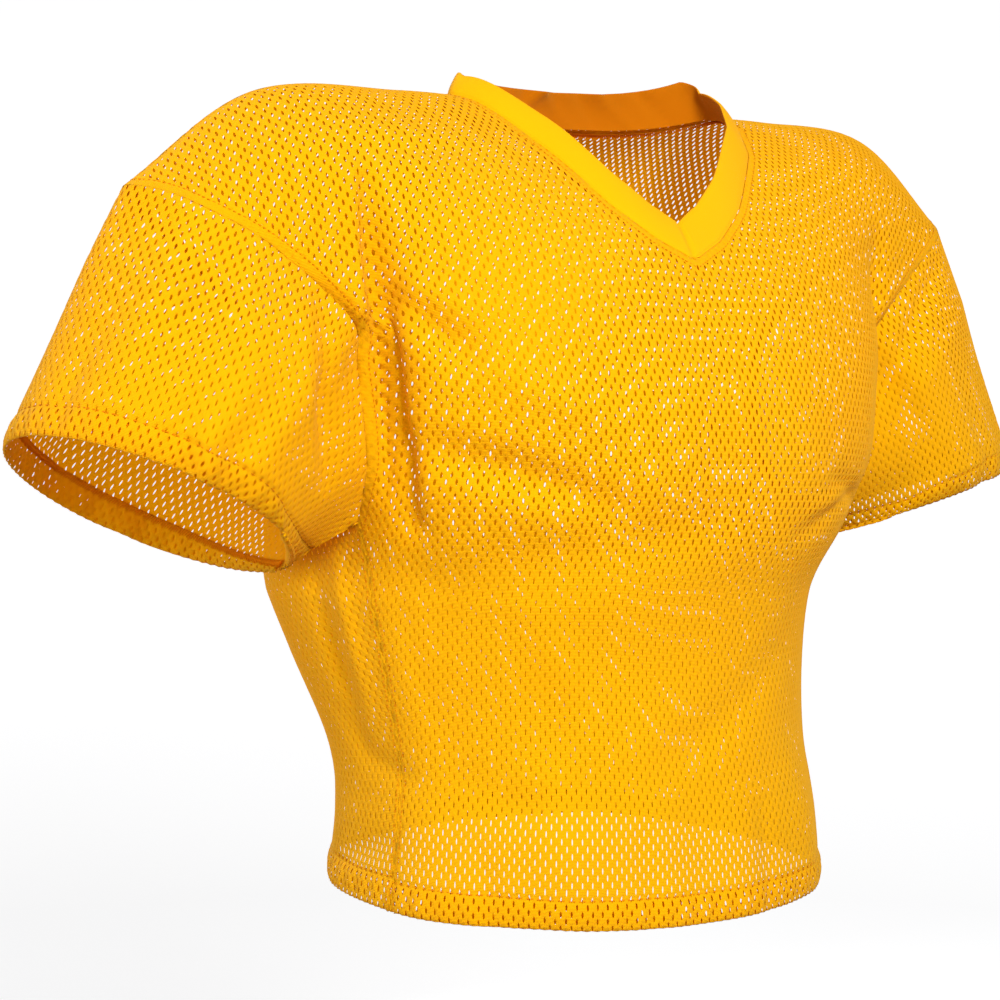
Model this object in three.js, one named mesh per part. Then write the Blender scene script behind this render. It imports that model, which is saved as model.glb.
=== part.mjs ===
// Football practice jersey, waist length, in porthole mesh with a V-neck collar band.
// Millimetres. +X is the wearer's left, -Y the front, +Z up.
// The origin lies midway between the shoulders, just under the top of the shoulder line.
import * as THREE from 'three';

// Driving dimensions
const CLOTH_WALL = 1.6;
const COLLAR_WALL = 2.4;
const TURN_UP_WALL = 3.2;
const TURN_UP_DEPTH = 20;
const TURN_UP_STEP = 1.2;
const SEAM_GAP = 0.3;
const HALF_COLUMNS = 14;
// Columns lie closer together towards the armhole, where the folds are
const COLUMN_EASE = 0.09;
const SECTION_STEPS = 120;
// The body's turn-up, in rows of the net from the hem
const TURN_UP_ROWS = 0.43;
const NECK_HALF_WIDTH = 116;
const NECK_TIP_ROW = 9.05;
const NECK_BACK_ROW = 12.7;
const SHOULDER_ROW = 12;
const UNDERARM_ROW = 5;
// The wearer's left shoulder stands a little higher than the right one, by this slope, which starts
// above the underarms. The waist sways to the wearer's right.
const LEAN = 0.031;
const LEAN_FROM = -330;
const LEAN_FULL = -90;
// The hem hangs lower on the wearer's left by this slope, which fades out above the hem
const HEM_DROP = 0.015;
const HEM_DROP_FROM = 420;
const HEM_DROP_FULL = 525;
const SWAY = [
  { height: -540, shift: 0 }, { height: -450, shift: -1 }, { height: -390, shift: -5 },
  { height: -320, shift: -9 }, { height: -270, shift: -4 }, { height: -230, shift: 0 },
];

// The body is a net of points for the wearer's left half, mirrored for the right one.
// A row runs from the middle of the panel to its side seam or armhole edge.
// The rows go from the front hem over the shoulder line to the back hem.
const BODY_COLUMNS = ['middle', 'inner', 'chest', 'corner', 'edge'];
const BODY_ROWS = [
  { name: 'front hem', middle: [0, -139, -528], inner: [62, -130, -527], chest: [118, -102, -525],
    corner: [158, -62, -525], edge: [177, -16, -524] },
  { name: 'front above hem', middle: [0, -137, -479], inner: [61, -128, -478], chest: [115, -101, -477],
    corner: [153, -61, -474], edge: [172, -17, -470] },
  { name: 'front waist', middle: [0, -132, -428], inner: [58, -124, -428], chest: [110, -96, -426],
    corner: [148, -58, -424], edge: [169, -18, -420] },
  { name: 'front ribs', middle: [0, -130, -368], inner: [60, -122, -367], chest: [113, -95, -365],
    corner: [153, -57, -362], edge: [177, -19, -357] },
  { name: 'front under pad', middle: [0, -136, -320], inner: [65, -128, -320], chest: [121, -99, -317],
    corner: [162, -60, -312], edge: [187, -20, -305] },
  { name: 'front underarm', middle: [0, -147, -280], inner: [70, -139, -280], chest: [132, -111, -278],
    corner: [178, -70, -274], edge: [199, -20, -268] },
  { name: 'front low armhole', middle: [0, -150, -240], inner: [73, -145, -239], chest: [140, -120, -236],
    corner: [188, -83, -230], edge: [210, -43, -224] },
  { name: 'front mid armhole', middle: [0, -146, -195], inner: [74, -142, -194], chest: [144, -120, -190],
    corner: [196, -82, -180], edge: [218, -46, -168] },
  { name: 'front chest', middle: [0, -132, -150], inner: [74, -130, -150], chest: [146, -112, -150],
    corner: [204, -78, -146], edge: [228, -54, -136] },
  { name: 'front neck tip', middle: [0, -110, -102], inner: [74, -110, -104], chest: [148, -98, -106],
    corner: [214, -66, -104], edge: [278, -46, -92] },
  { name: 'front pad top', middle: [0, -83, -64], inner: [74, -84, -62], chest: [148, -78, -61],
    corner: [216, -60, -60], edge: [312, -33, -71] },
  { name: 'front slope', middle: [0, -42, -24], inner: [74, -45, -20], chest: [150, -45, -16],
    corner: [238, -38, -18], edge: [332, -15, -59] },
  { name: 'shoulder line', middle: [0, 8, 14], inner: [76, 6, 15], chest: [160, 6, 16],
    corner: [262, 8, 8], edge: [347, 8, -54] },
  { name: 'back slope', middle: [0, 70, 0], inner: [78, 66, -3], chest: [158, 60, -9],
    corner: [250, 48, -22], edge: [334, 30, -59] },
  { name: 'back pad top', middle: [0, 122, -38], inner: [78, 116, -40], chest: [156, 104, -45],
    corner: [234, 78, -56], edge: [315, 48, -71] },
  { name: 'back yoke', middle: [0, 162, -80], inner: [78, 154, -82], chest: [152, 134, -85],
    corner: [218, 98, -90], edge: [282, 60, -92] },
  { name: 'back chest', middle: [0, 190, -134], inner: [78, 180, -134], chest: [150, 152, -134],
    corner: [206, 112, -136], edge: [233, 73, -140] },
  { name: 'back mid armhole', middle: [0, 204, -172], inner: [78, 193, -172], chest: [150, 160, -172],
    corner: [202, 114, -174], edge: [221, 72, -184] },
  { name: 'back low armhole', middle: [0, 214, -222], inner: [78, 202, -222], chest: [152, 167, -220],
    corner: [197, 112, -224], edge: [210, 46, -240] },
  { name: 'back underarm', middle: [0, 218, -270], inner: [77, 205, -270], chest: [150, 168, -270],
    corner: [199, 96, -269], edge: [199, -20, -268] },
  { name: 'back under pad', middle: [0, 213, -309], inner: [76, 200, -309], chest: [148, 164, -309],
    corner: [200, 92, -307], edge: [187, -20, -305] },
  { name: 'back ribs', middle: [0, 201, -361], inner: [72, 188, -361], chest: [140, 152, -361],
    corner: [187, 80, -360], edge: [177, -19, -357] },
  { name: 'back waist', middle: [0, 176, -423], inner: [66, 163, -423], chest: [127, 128, -423],
    corner: [171, 66, -422], edge: [169, -18, -420] },
  { name: 'back above hem', middle: [0, 170, -468], inner: [66, 157, -468], chest: [126, 123, -469],
    corner: [170, 62, -470], edge: [172, -17, -470] },
  { name: 'back hem', middle: [0, 175, -514], inner: [68, 162, -514], chest: [130, 128, -515],
    corner: [175, 64, -521], edge: [177, -16, -524] },
];
const LAST_ROW = BODY_ROWS.length - 1;

// Levels at which the body is cut into facets, counted in rows of the net
const FRONT_LEVELS = [0, 0.42, 0.45, 1, 1.5, 2, 2.5, 3, 3.5, 4, 4.5, 4.8, 5, 5.35, 5.7, 6.1, 6.5, 7,
  7.5, 8, 8.5, NECK_TIP_ROW, 9.2, 9.4, 9.7, 10, 10.5, 11, 11.5, SHOULDER_ROW];
const BACK_LEVELS = [SHOULDER_ROW, 12.22, 12.44, 12.6, NECK_BACK_ROW, 13, 13.5, 14, 14.5, 15, 15.5, 16,
  16.5, 17, 17.5, 18, 18.4, 18.7, 18.9, 19, 19.2, 19.5, 20, 20.5, 21, 21.5, 22, 22.5, 23, 23.55, 23.58, 24];
// Where the neck edge cuts the front, on the wearer's right and left side
const NECK_FRONT = [
  { row: NECK_TIP_ROW, right: 0, left: 0 },
  { row: 9.4, right: 25, left: 28 },
  { row: 10, right: 52, left: 60 },
  { row: 11, right: 82, left: 104 },
  { row: 11.5, right: 100, left: 116 },
  { row: SHOULDER_ROW, right: NECK_HALF_WIDTH, left: NECK_HALF_WIDTH },
];

// Each cuff is an ellipse: half sizes along the front-to-back and the in-to-out direction,
// and the two slopes of its plane in degrees
const CUFFS = {
  right: { side: -1, centre: [323, 27, -258], halfDepth: 92, halfReach: 97, outerRise: 25.6, frontRise: 8 },
  left: { side: 1, centre: [324, 26, -268], halfDepth: 88, halfReach: 96, outerRise: 15, frontRise: 9 },
};
// How far the sleeve stands out between armhole and cuff, by the angle around it:
// 0 is the top, 90 the front, 180 the underarm and 270 the back
const SLEEVE_FULLNESS = [
  { angle: 0, out: 2 }, { angle: 45, out: 10 }, { angle: 90, out: 18 }, { angle: 135, out: 26 },
  { angle: 180, out: 9 }, { angle: 225, out: 12 }, { angle: 270, out: 16 }, { angle: 315, out: 8 },
  { angle: 360, out: 2 },
];
// Share of that fullness that turns away from the body at the underarm
const SLEEVE_SPREAD = 2.2;
const SLEEVE_STEPS = [0, 0.12, 0.26, 0.42, 0.58, 0.74, 0.88, 1];

// The collar band, from its seam on the body to its free edge, by the angle around the neck:
// 0 is the point of the V, 90 the wearer's left, 180 the middle of the back and 270 the right
const COLLAR_SECTIONS = [
  { angle: 0, inward: 17.5, rise: 26.5 }, { angle: 50, inward: 16, rise: 22 },
  { angle: 90, inward: 12, rise: 18 }, { angle: 130, inward: 6, rise: 30 },
  { angle: 180, inward: 5, rise: 25 }, { angle: 230, inward: 6, rise: 21 },
  { angle: 270, inward: 12, rise: 15 }, { angle: 310, inward: 16, rise: 22 },
  { angle: 360, inward: 17.5, rise: 26.5 },
];
const COLLAR_STEPS = [0, 0.35, 0.7, 1];
const COLLAR_CROWN = 1.5;
// How far behind the neck edge the front half of the band leans to
const COLLAR_AIM = 60;

// The largest folds: a line between two points, its width, and how far the cloth moves along its
// outward direction, so that a trough is negative
const FOLDS = [
  { name: 'right front armpit', from: [-222, -74, -70], to: [-196, -66, -266], width: 13, height: -17 },
  { name: 'left front armpit', from: [222, -74, -70], to: [196, -66, -262], width: 13, height: -15 },
  { name: 'right back armpit', from: [-214, 100, -90], to: [-200, 92, -262], width: 16, height: -12 },
  { name: 'left back armpit', from: [214, 100, -84], to: [202, 92, -266], width: 15, height: -13 },
  { name: 'under right pad', from: [-150, -108, -292], to: [-20, -146, -272], width: 22, height: -6 },
  { name: 'right front hem wave', from: [-112, -104, -440], to: [-96, -116, -532], width: 24, height: 6 },
  { name: 'left front hem wave', from: [84, -120, -450], to: [104, -112, -532], width: 26, height: 5 },
  { name: 'middle front hem hollow', from: [-20, -136, -430], to: [-8, -140, -532], width: 28, height: -5 },
  { name: 'right back hem wave', from: [-118, 128, -430], to: [-126, 130, -528], width: 24, height: 6 },
  { name: 'left back hem wave', from: [96, 142, -440], to: [110, 140, -528], width: 26, height: 6 },
];

// A fold has this share of its height at its ends, and swells to the whole of it between them
const FOLD_END_SHARE = 0.35;
const FOLD_SWELL_START = 0.12;
const FOLD_SWELL_SPAN = 0.8;

const MESH_CLOTH = { color: 0xf9bd0a, roughness: 0.85, metalness: 0 };
const RIB_CLOTH = { color: 0xfcc40c, roughness: 0.75, metalness: 0 };

const UP = new THREE.Vector3(0, 0, 1);

// Cubic through evenly numbered values, with the neighbours before the first and after the last given
function splineValue(values, before, after, at) {
  const last = values.length - 1;
  const position = THREE.MathUtils.clamp(at, 0, last);
  const index = Math.min(Math.floor(position), last - 1);
  const f = position - index;
  const a = index === 0 ? before : values[index - 1];
  const b = values[index];
  const c = values[index + 1];
  const d = index + 2 > last ? after : values[index + 2];
  return b.map((_, k) => 0.5 * (2 * b[k] + (c[k] - a[k]) * f
    + (2 * a[k] - 5 * b[k] + 4 * c[k] - d[k]) * f * f
    + (3 * b[k] - a[k] - 3 * c[k] + d[k]) * f * f * f));
}

function beyond(end, next) {
  return end.map((value, k) => 2 * value - next[k]);
}

function tableValue(table, key, column, at) {
  const next = table.findIndex((row) => row[key] >= at);
  if (next === -1) return table[table.length - 1][column];
  if (next === 0) return table[0][column];
  const low = table[next - 1];
  const high = table[next];
  return THREE.MathUtils.mapLinear(at, low[key], high[key], low[column], high[column]);
}

function netColumn(column, row) {
  const values = BODY_ROWS.map((entry) => entry[column]);
  if (column !== 'edge') return splineWithFreeEnds(values, row);
  // The edge is three lines that meet at the underarm: two side seams, which are one, and the armhole
  if (row < UNDERARM_ROW) return splineWithFreeEnds(values.slice(0, UNDERARM_ROW + 1), row);
  if (row > LAST_ROW - UNDERARM_ROW) return netColumn('edge', LAST_ROW - row);
  return splineWithFreeEnds(values.slice(UNDERARM_ROW, LAST_ROW - UNDERARM_ROW + 1), row - UNDERARM_ROW);
}

function splineWithFreeEnds(values, at) {
  const last = values.length - 1;
  return splineValue(values, beyond(values[0], values[1]), beyond(values[last], values[last - 1]), at);
}

function runningLengths(line) {
  const lengths = [0];
  for (let i = 1; i < line.length; i += 1) {
    lengths.push(lengths[i - 1] + line[i].distanceTo(line[i - 1]));
  }
  return lengths;
}

// The half section of a body row, as a dense line with its running length.
// Below the underarm the line bends smoothly on into the other panel.
function bodySection(row) {
  const points = BODY_COLUMNS.map((column) => netColumn(column, row));
  const levelFromHem = row <= SHOULDER_ROW ? row : LAST_ROW - row;
  const opposite = netColumn('corner', LAST_ROW - row);
  const free = beyond(points[4], points[3]);
  const joined = THREE.MathUtils.clamp(UNDERARM_ROW + 0.5 - levelFromHem, 0, 1);
  const after = free.map((value, k) => THREE.MathUtils.lerp(value, opposite[k], joined));
  const mirrored = [-points[1][0], points[1][1], points[1][2]];
  const line = [];
  for (let i = 0; i <= SECTION_STEPS; i += 1) {
    line.push(new THREE.Vector3(...splineValue(points, mirrored, after, (4 * i) / SECTION_STEPS)));
  }
  return { line, lengths: runningLengths(line) };
}

function pointAtLength(section, length) {
  const { line, lengths } = section;
  let i = 1;
  while (i < lengths.length - 1 && lengths[i] < length) i += 1;
  const f = (length - lengths[i - 1]) / (lengths[i] - lengths[i - 1]);
  return line[i - 1].clone().lerp(line[i], f);
}

function neckHalfWidth(row, side) {
  if (row < NECK_TIP_ROW || row > NECK_BACK_ROW) return 0;
  if (row <= SHOULDER_ROW) return tableValue(NECK_FRONT, 'row', side > 0 ? 'left' : 'right', row);
  const f = (row - SHOULDER_ROW) / (NECK_BACK_ROW - SHOULDER_ROW);
  return NECK_HALF_WIDTH * Math.sqrt(Math.max(0, 1 - f * f));
}

function lengthAtX(section, x) {
  const { line, lengths } = section;
  if (x <= 0) return 0;
  const i = line.findIndex((point) => point.x >= x);
  const f = (x - line[i - 1].x) / (line[i].x - line[i - 1].x);
  return THREE.MathUtils.lerp(lengths[i - 1], lengths[i], f);
}

// One row of points for one side, from the middle or the neck edge to the side seam or armhole
function bodyRow(row, side) {
  const section = bodySection(row);
  const total = section.lengths[SECTION_STEPS];
  const start = lengthAtX(section, neckHalfWidth(row, side));
  const points = [];
  for (let k = 0; k <= HALF_COLUMNS; k += 1) {
    const share = k / HALF_COLUMNS + COLUMN_EASE * Math.sin((Math.PI * k) / HALF_COLUMNS);
    const point = pointAtLength(section, THREE.MathUtils.lerp(start, total, share));
    points.push(leanAndSway(new THREE.Vector3(side * point.x, point.y, point.z)));
  }
  return points;
}

function leanAndSway(point) {
  const share = THREE.MathUtils.smoothstep(point.z, LEAN_FROM, LEAN_FULL);
  const sway = tableValue(SWAY, 'height', 'shift', point.z);
  const hem = THREE.MathUtils.smoothstep(-point.z, HEM_DROP_FROM, HEM_DROP_FULL);
  return point.set(point.x + sway, point.y, point.z + point.x * (LEAN * share - HEM_DROP * hem));
}

// A sheet is points and four-cornered faces; a point's key joins the same place in two pieces
class Sheet {
  constructor() {
    this.points = [];
    this.walls = [];
    this.faces = [];
    this.places = new Map();
  }

  add(point, wall) {
    const key = placeKey(point);
    if (!this.places.has(key)) {
      this.places.set(key, this.points.length);
      this.points.push(point.clone());
      this.walls.push(wall);
    }
    return this.places.get(key);
  }

  // Rows of points become faces; turned swaps the side that faces out
  addRows(rows, walls, turned) {
    const index = rows.map((row, i) => row.map((point) => this.add(point, walls[i])));
    for (let i = 0; i + 1 < index.length; i += 1) {
      for (let j = 0; j + 1 < index[i].length; j += 1) {
        const face = [index[i][j], index[i][j + 1], index[i + 1][j + 1], index[i + 1][j]];
        this.faces.push(turned ? face.reverse() : face);
      }
    }
  }

  triangles() {
    const list = [];
    this.faces.forEach(([a, b, c, d]) => {
      const [pa, pb, pc, pd] = [a, b, c, d].map((i) => this.points[i]);
      const split = pa.distanceTo(pc) <= pb.distanceTo(pd)
        ? [[a, b, c], [a, c, d]] : [[a, b, d], [b, c, d]];
      split.forEach((t) => {
        if (new Set(t).size === 3) list.push(t);
      });
    });
    return list;
  }
}

function placeKey(point) {
  return point.toArray().map((value) => Math.round(value * 100)).join(' ');
}

function faceNormal(points, [a, b, c]) {
  const u = points[b].clone().sub(points[a]);
  const v = points[c].clone().sub(points[a]);
  return u.cross(v);
}

function addDirection(directions, key, direction) {
  if (!directions.has(key)) directions.set(key, new THREE.Vector3());
  directions.get(key).add(direction);
}

// Outward directions at every place. At a seam between two groups of sheets it is the bisector.
function sharedNormals(groups) {
  const shared = new Map();
  groups.forEach((sheets) => {
    const own = new Map();
    sheets.forEach((sheet) => {
      sheet.triangles().forEach((triangle) => {
        const normal = faceNormal(sheet.points, triangle).normalize();
        triangle.forEach((i) => addDirection(own, placeKey(sheet.points[i]), normal));
      });
    });
    own.forEach((normal, key) => addDirection(shared, key, normal.normalize()));
  });
  shared.forEach((normal) => normal.normalize());
  return shared;
}

// How far the folds move a place along its outward direction
function foldHeight(point) {
  let height = 0;
  FOLDS.forEach((fold) => {
    const from = new THREE.Vector3(...fold.from);
    const along = new THREE.Vector3(...fold.to).sub(from);
    const t = THREE.MathUtils.clamp(point.clone().sub(from).dot(along) / along.lengthSq(), 0, 1);
    const distance = point.distanceTo(from.clone().addScaledVector(along, t));
    const swell = Math.sin(Math.PI * (FOLD_SWELL_START + FOLD_SWELL_SPAN * t));
    const share = FOLD_END_SHARE + (1 - FOLD_END_SHARE) * swell;
    height += fold.height * share * Math.exp(-((distance / fold.width) ** 2));
  });
  return height;
}

function boundaryEdges(triangles) {
  const edges = new Map();
  triangles.forEach(([a, b, c]) => {
    [[a, b], [b, c], [c, a]].forEach(([i, j]) => {
      if (edges.has(`${j} ${i}`)) edges.delete(`${j} ${i}`);
      else edges.set(`${i} ${j}`, [i, j]);
    });
  });
  return [...edges.values()];
}

// Draws the seam edges of a sheet back by half the seam gap, square to the shared outward direction
function drawBackSeams(sheet, edges, direction, seamPlaces) {
  const inward = sheet.points.map(() => []);
  edges.forEach(([i, j]) => {
    if (![i, j].every((k) => seamPlaces.has(placeKey(sheet.points[k])))) return;
    const tangent = sheet.points[j].clone().sub(sheet.points[i]).normalize();
    [i, j].forEach((k) => inward[k].push(direction[k].clone().cross(tangent).normalize()));
  });
  return sheet.points.map((point, k) => {
    const [first, second] = inward[k];
    const moved = point.clone();
    if (!first) return moved;
    if (!second) return moved.addScaledVector(first, SEAM_GAP / 2);
    const corner = first.clone().add(second).divideScalar(1 + Math.max(first.dot(second), 0));
    return moved.addScaledVector(corner, SEAM_GAP / 2);
  });
}

// A closed wall: the sheet outside, a copy set in by the wall thickness, and the edges between them
function thicken(sheet, normals, seamPlaces) {
  const triangles = sheet.triangles();
  const edges = boundaryEdges(triangles);
  const direction = sheet.points.map((point) => normals.get(placeKey(point)));
  const outer = drawBackSeams(sheet, edges, direction, seamPlaces);
  const inner = outer.map((point, k) => point.clone().addScaledVector(direction[k], -sheet.walls[k]));
  const count = outer.length;
  const index = [];
  triangles.forEach(([a, b, c]) => index.push(a, b, c, c + count, b + count, a + count));
  edges.forEach(([i, j]) => index.push(i, i + count, j, j, i + count, j + count));
  const geometry = new THREE.BufferGeometry();
  const positions = [...outer, ...inner].flatMap((point) => point.toArray());
  geometry.setAttribute('position', new THREE.Float32BufferAttribute(positions, 3));
  geometry.setIndex(index);
  geometry.computeVertexNormals();
  return geometry;
}

function bodyWall(row) {
  return row < TURN_UP_ROWS || row > LAST_ROW - TURN_UP_ROWS ? TURN_UP_WALL : CLOTH_WALL;
}

function buildPanel(levels) {
  const sheet = new Sheet();
  const walls = levels.map(bodyWall);
  sheet.addRows(levels.map((row) => bodyRow(row, 1)), walls, false);
  sheet.addRows(levels.map((row) => bodyRow(row, -1)), walls, true);
  return sheet;
}

// The armhole, from the shoulder tip over the front to the underarm and up the back,
// with each point's angle around the sleeve
function armhole(side) {
  const front = FRONT_LEVELS.filter((row) => row >= UNDERARM_ROW).reverse();
  const back = BACK_LEVELS.filter((row) => row <= LAST_ROW - UNDERARM_ROW).reverse();
  const points = [...front, ...back].map((row) => bodyRow(row, side)[HALF_COLUMNS]);
  const bottom = front.length - 1;
  points.splice(bottom + 1, 1);
  const lengths = runningLengths(points);
  const half = lengths[bottom];
  const total = lengths[points.length - 1];
  const angles = lengths.map((length, i) => (i <= bottom
    ? (180 * length) / half : 180 + (180 * (length - half)) / (total - half)));
  return { points, angles };
}

function cuffPoint(cuff, angle) {
  const outer = THREE.MathUtils.degToRad(cuff.outerRise);
  const front = THREE.MathUtils.degToRad(cuff.frontRise);
  const around = THREE.MathUtils.degToRad(angle);
  const reach = cuff.halfReach * Math.cos(around);
  const depth = cuff.halfDepth * Math.sin(around);
  return new THREE.Vector3(
    cuff.side * (cuff.centre[0] + reach * Math.cos(outer)),
    cuff.centre[1] - depth * Math.cos(front),
    cuff.centre[2] + reach * Math.sin(outer) + depth * Math.sin(front),
  );
}

function centreOf(points) {
  return points.reduce((sum, point) => sum.add(point), new THREE.Vector3()).divideScalar(points.length);
}

function buildSleeve(cuff) {
  const { points, angles } = armhole(cuff.side);
  const ends = angles.map((angle) => cuffPoint(cuff, angle));
  const top = centreOf(points.slice(1));
  const bottom = centreOf(ends.slice(1));
  const axis = bottom.clone().sub(top).normalize();
  const line = points.map((start, k) => {
    const length = start.distanceTo(ends[k]);
    const turn = 1 - TURN_UP_DEPTH / length;
    const steps = [...SLEEVE_STEPS.map((step) => step * turn), turn + TURN_UP_STEP / length, 1];
    const fullness = tableValue(SLEEVE_FULLNESS, 'angle', 'out', angles[k]);
    return steps.map((w) => {
      const point = start.clone().lerp(ends[k], w);
      const out = point.clone().sub(top.clone().lerp(bottom, w));
      out.addScaledVector(axis, -out.dot(axis)).normalize();
      out.x += cuff.side * SLEEVE_SPREAD * (1 - Math.cos(THREE.MathUtils.degToRad(angles[k]))) / 2;
      return point.addScaledVector(out, 4 * w * (1 - w) * fullness);
    });
  });
  const sheet = new Sheet();
  const count = line[0].length;
  const walls = line[0].map((_, i) => (i >= count - 2 ? TURN_UP_WALL : CLOTH_WALL));
  const rows = walls.map((_, i) => line.map((column) => column[i]));
  sheet.addRows(rows, walls, cuff.side < 0);
  return sheet;
}

// The neck edge of the body, from the point of the V round the wearer's left side to the back and on
function neckEdge() {
  const front = FRONT_LEVELS.filter((row) => row >= NECK_TIP_ROW);
  const back = BACK_LEVELS.filter((row) => row > SHOULDER_ROW && row <= NECK_BACK_ROW);
  const rows = [...front, ...back];
  const left = rows.map((row) => bodyRow(row, 1)[0]);
  const right = rows.map((row) => bodyRow(row, -1)[0]).slice(1, -1).reverse();
  const angles = rows.map((row) => (row <= SHOULDER_ROW
    ? THREE.MathUtils.mapLinear(row, NECK_TIP_ROW, SHOULDER_ROW, 0, 90)
    : THREE.MathUtils.mapLinear(row, SHOULDER_ROW, NECK_BACK_ROW, 90, 180)));
  const around = [...angles, ...angles.slice(1, -1).reverse().map((angle) => 360 - angle), 360];
  return { points: [...left, ...right, left[0]], angles: around };
}

function buildCollar() {
  const { points, angles } = neckEdge();
  const rows = COLLAR_STEPS.map((step) => points.map((point, k) => {
    const inward = tableValue(COLLAR_SECTIONS, 'angle', 'inward', angles[k]);
    const rise = tableValue(COLLAR_SECTIONS, 'angle', 'rise', angles[k]);
    const inFront = angles[k] < 90 || angles[k] > 270;
    const toMiddle = new THREE.Vector3(-point.x, inFront ? COLLAR_AIM : -point.y, 0).normalize();
    const crown = COLLAR_CROWN * 4 * step * (1 - step);
    return point.clone().addScaledVector(toMiddle, inward * step - crown).addScaledVector(UP, rise * step);
  }));
  const sheet = new Sheet();
  sheet.addRows(rows, COLLAR_STEPS.map(() => COLLAR_WALL), false);
  return sheet;
}

const sheets = {
  front: buildPanel(FRONT_LEVELS),
  back: buildPanel(BACK_LEVELS),
  sleeve_left: buildSleeve(CUFFS.left),
  sleeve_right: buildSleeve(CUFFS.right),
  collar: buildCollar(),
};

// Folds move every piece alike, so that the seams stay together
const groups = [[sheets.front, sheets.back], [sheets.sleeve_left, sheets.sleeve_right], [sheets.collar]];
const beforeFolds = sharedNormals(groups);
Object.values(sheets).forEach((sheet) => {
  sheet.points.forEach((point) => {
    const height = foldHeight(point);
    point.addScaledVector(beforeFolds.get(placeKey(point)), height);
  });
});
const normals = sharedNormals(groups);
const uses = new Map();
Object.values(sheets).forEach((sheet) => {
  new Set(sheet.points.map(placeKey)).forEach((key) => uses.set(key, (uses.get(key) ?? 0) + 1));
});
const seamPlaces = new Set([...uses].filter(([, count]) => count > 1).map(([key]) => key));

const group = new THREE.Group();
Object.entries(sheets).forEach(([name, sheet]) => {
  const finish = name === 'collar' ? RIB_CLOTH : MESH_CLOTH;
  const piece = new THREE.Mesh(thicken(sheet, normals, seamPlaces), new THREE.MeshStandardMaterial(finish));
  piece.name = name;
  group.add(piece);
});

export default group;
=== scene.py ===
"""The looks of a football practice jersey in porthole mesh, built around its CAD solids.

The worn form repeats the net of the CAD part, in millimetres. Each cut piece is also laid flat, and its
mesh cloth is woven cell by cell on that flat pattern and then carried onto the worn form.
"""

import logging
import math
from collections.abc import Iterable
from dataclasses import dataclass, field
from enum import Enum

import bpy
import numpy as np
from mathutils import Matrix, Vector
from mathutils.bvhtree import BVHTree
from mathutils.interpolate import poly_3d_calc

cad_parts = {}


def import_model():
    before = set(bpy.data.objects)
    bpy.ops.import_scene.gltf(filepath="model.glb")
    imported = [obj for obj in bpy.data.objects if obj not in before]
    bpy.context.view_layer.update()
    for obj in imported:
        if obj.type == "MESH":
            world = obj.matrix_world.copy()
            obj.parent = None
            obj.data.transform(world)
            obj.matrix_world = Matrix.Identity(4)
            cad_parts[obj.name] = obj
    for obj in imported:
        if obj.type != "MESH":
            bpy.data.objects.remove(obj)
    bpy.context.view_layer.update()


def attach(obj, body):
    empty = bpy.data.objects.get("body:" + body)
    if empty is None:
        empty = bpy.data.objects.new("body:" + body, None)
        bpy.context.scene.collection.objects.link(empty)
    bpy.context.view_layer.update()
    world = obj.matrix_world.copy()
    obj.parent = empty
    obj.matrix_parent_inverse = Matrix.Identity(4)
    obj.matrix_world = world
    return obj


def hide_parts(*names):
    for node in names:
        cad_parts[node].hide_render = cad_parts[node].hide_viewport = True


log = logging.getLogger("jersey")

Colour = tuple[float, float, float, float]

MM = 0.001
BODY = "root"

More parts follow.
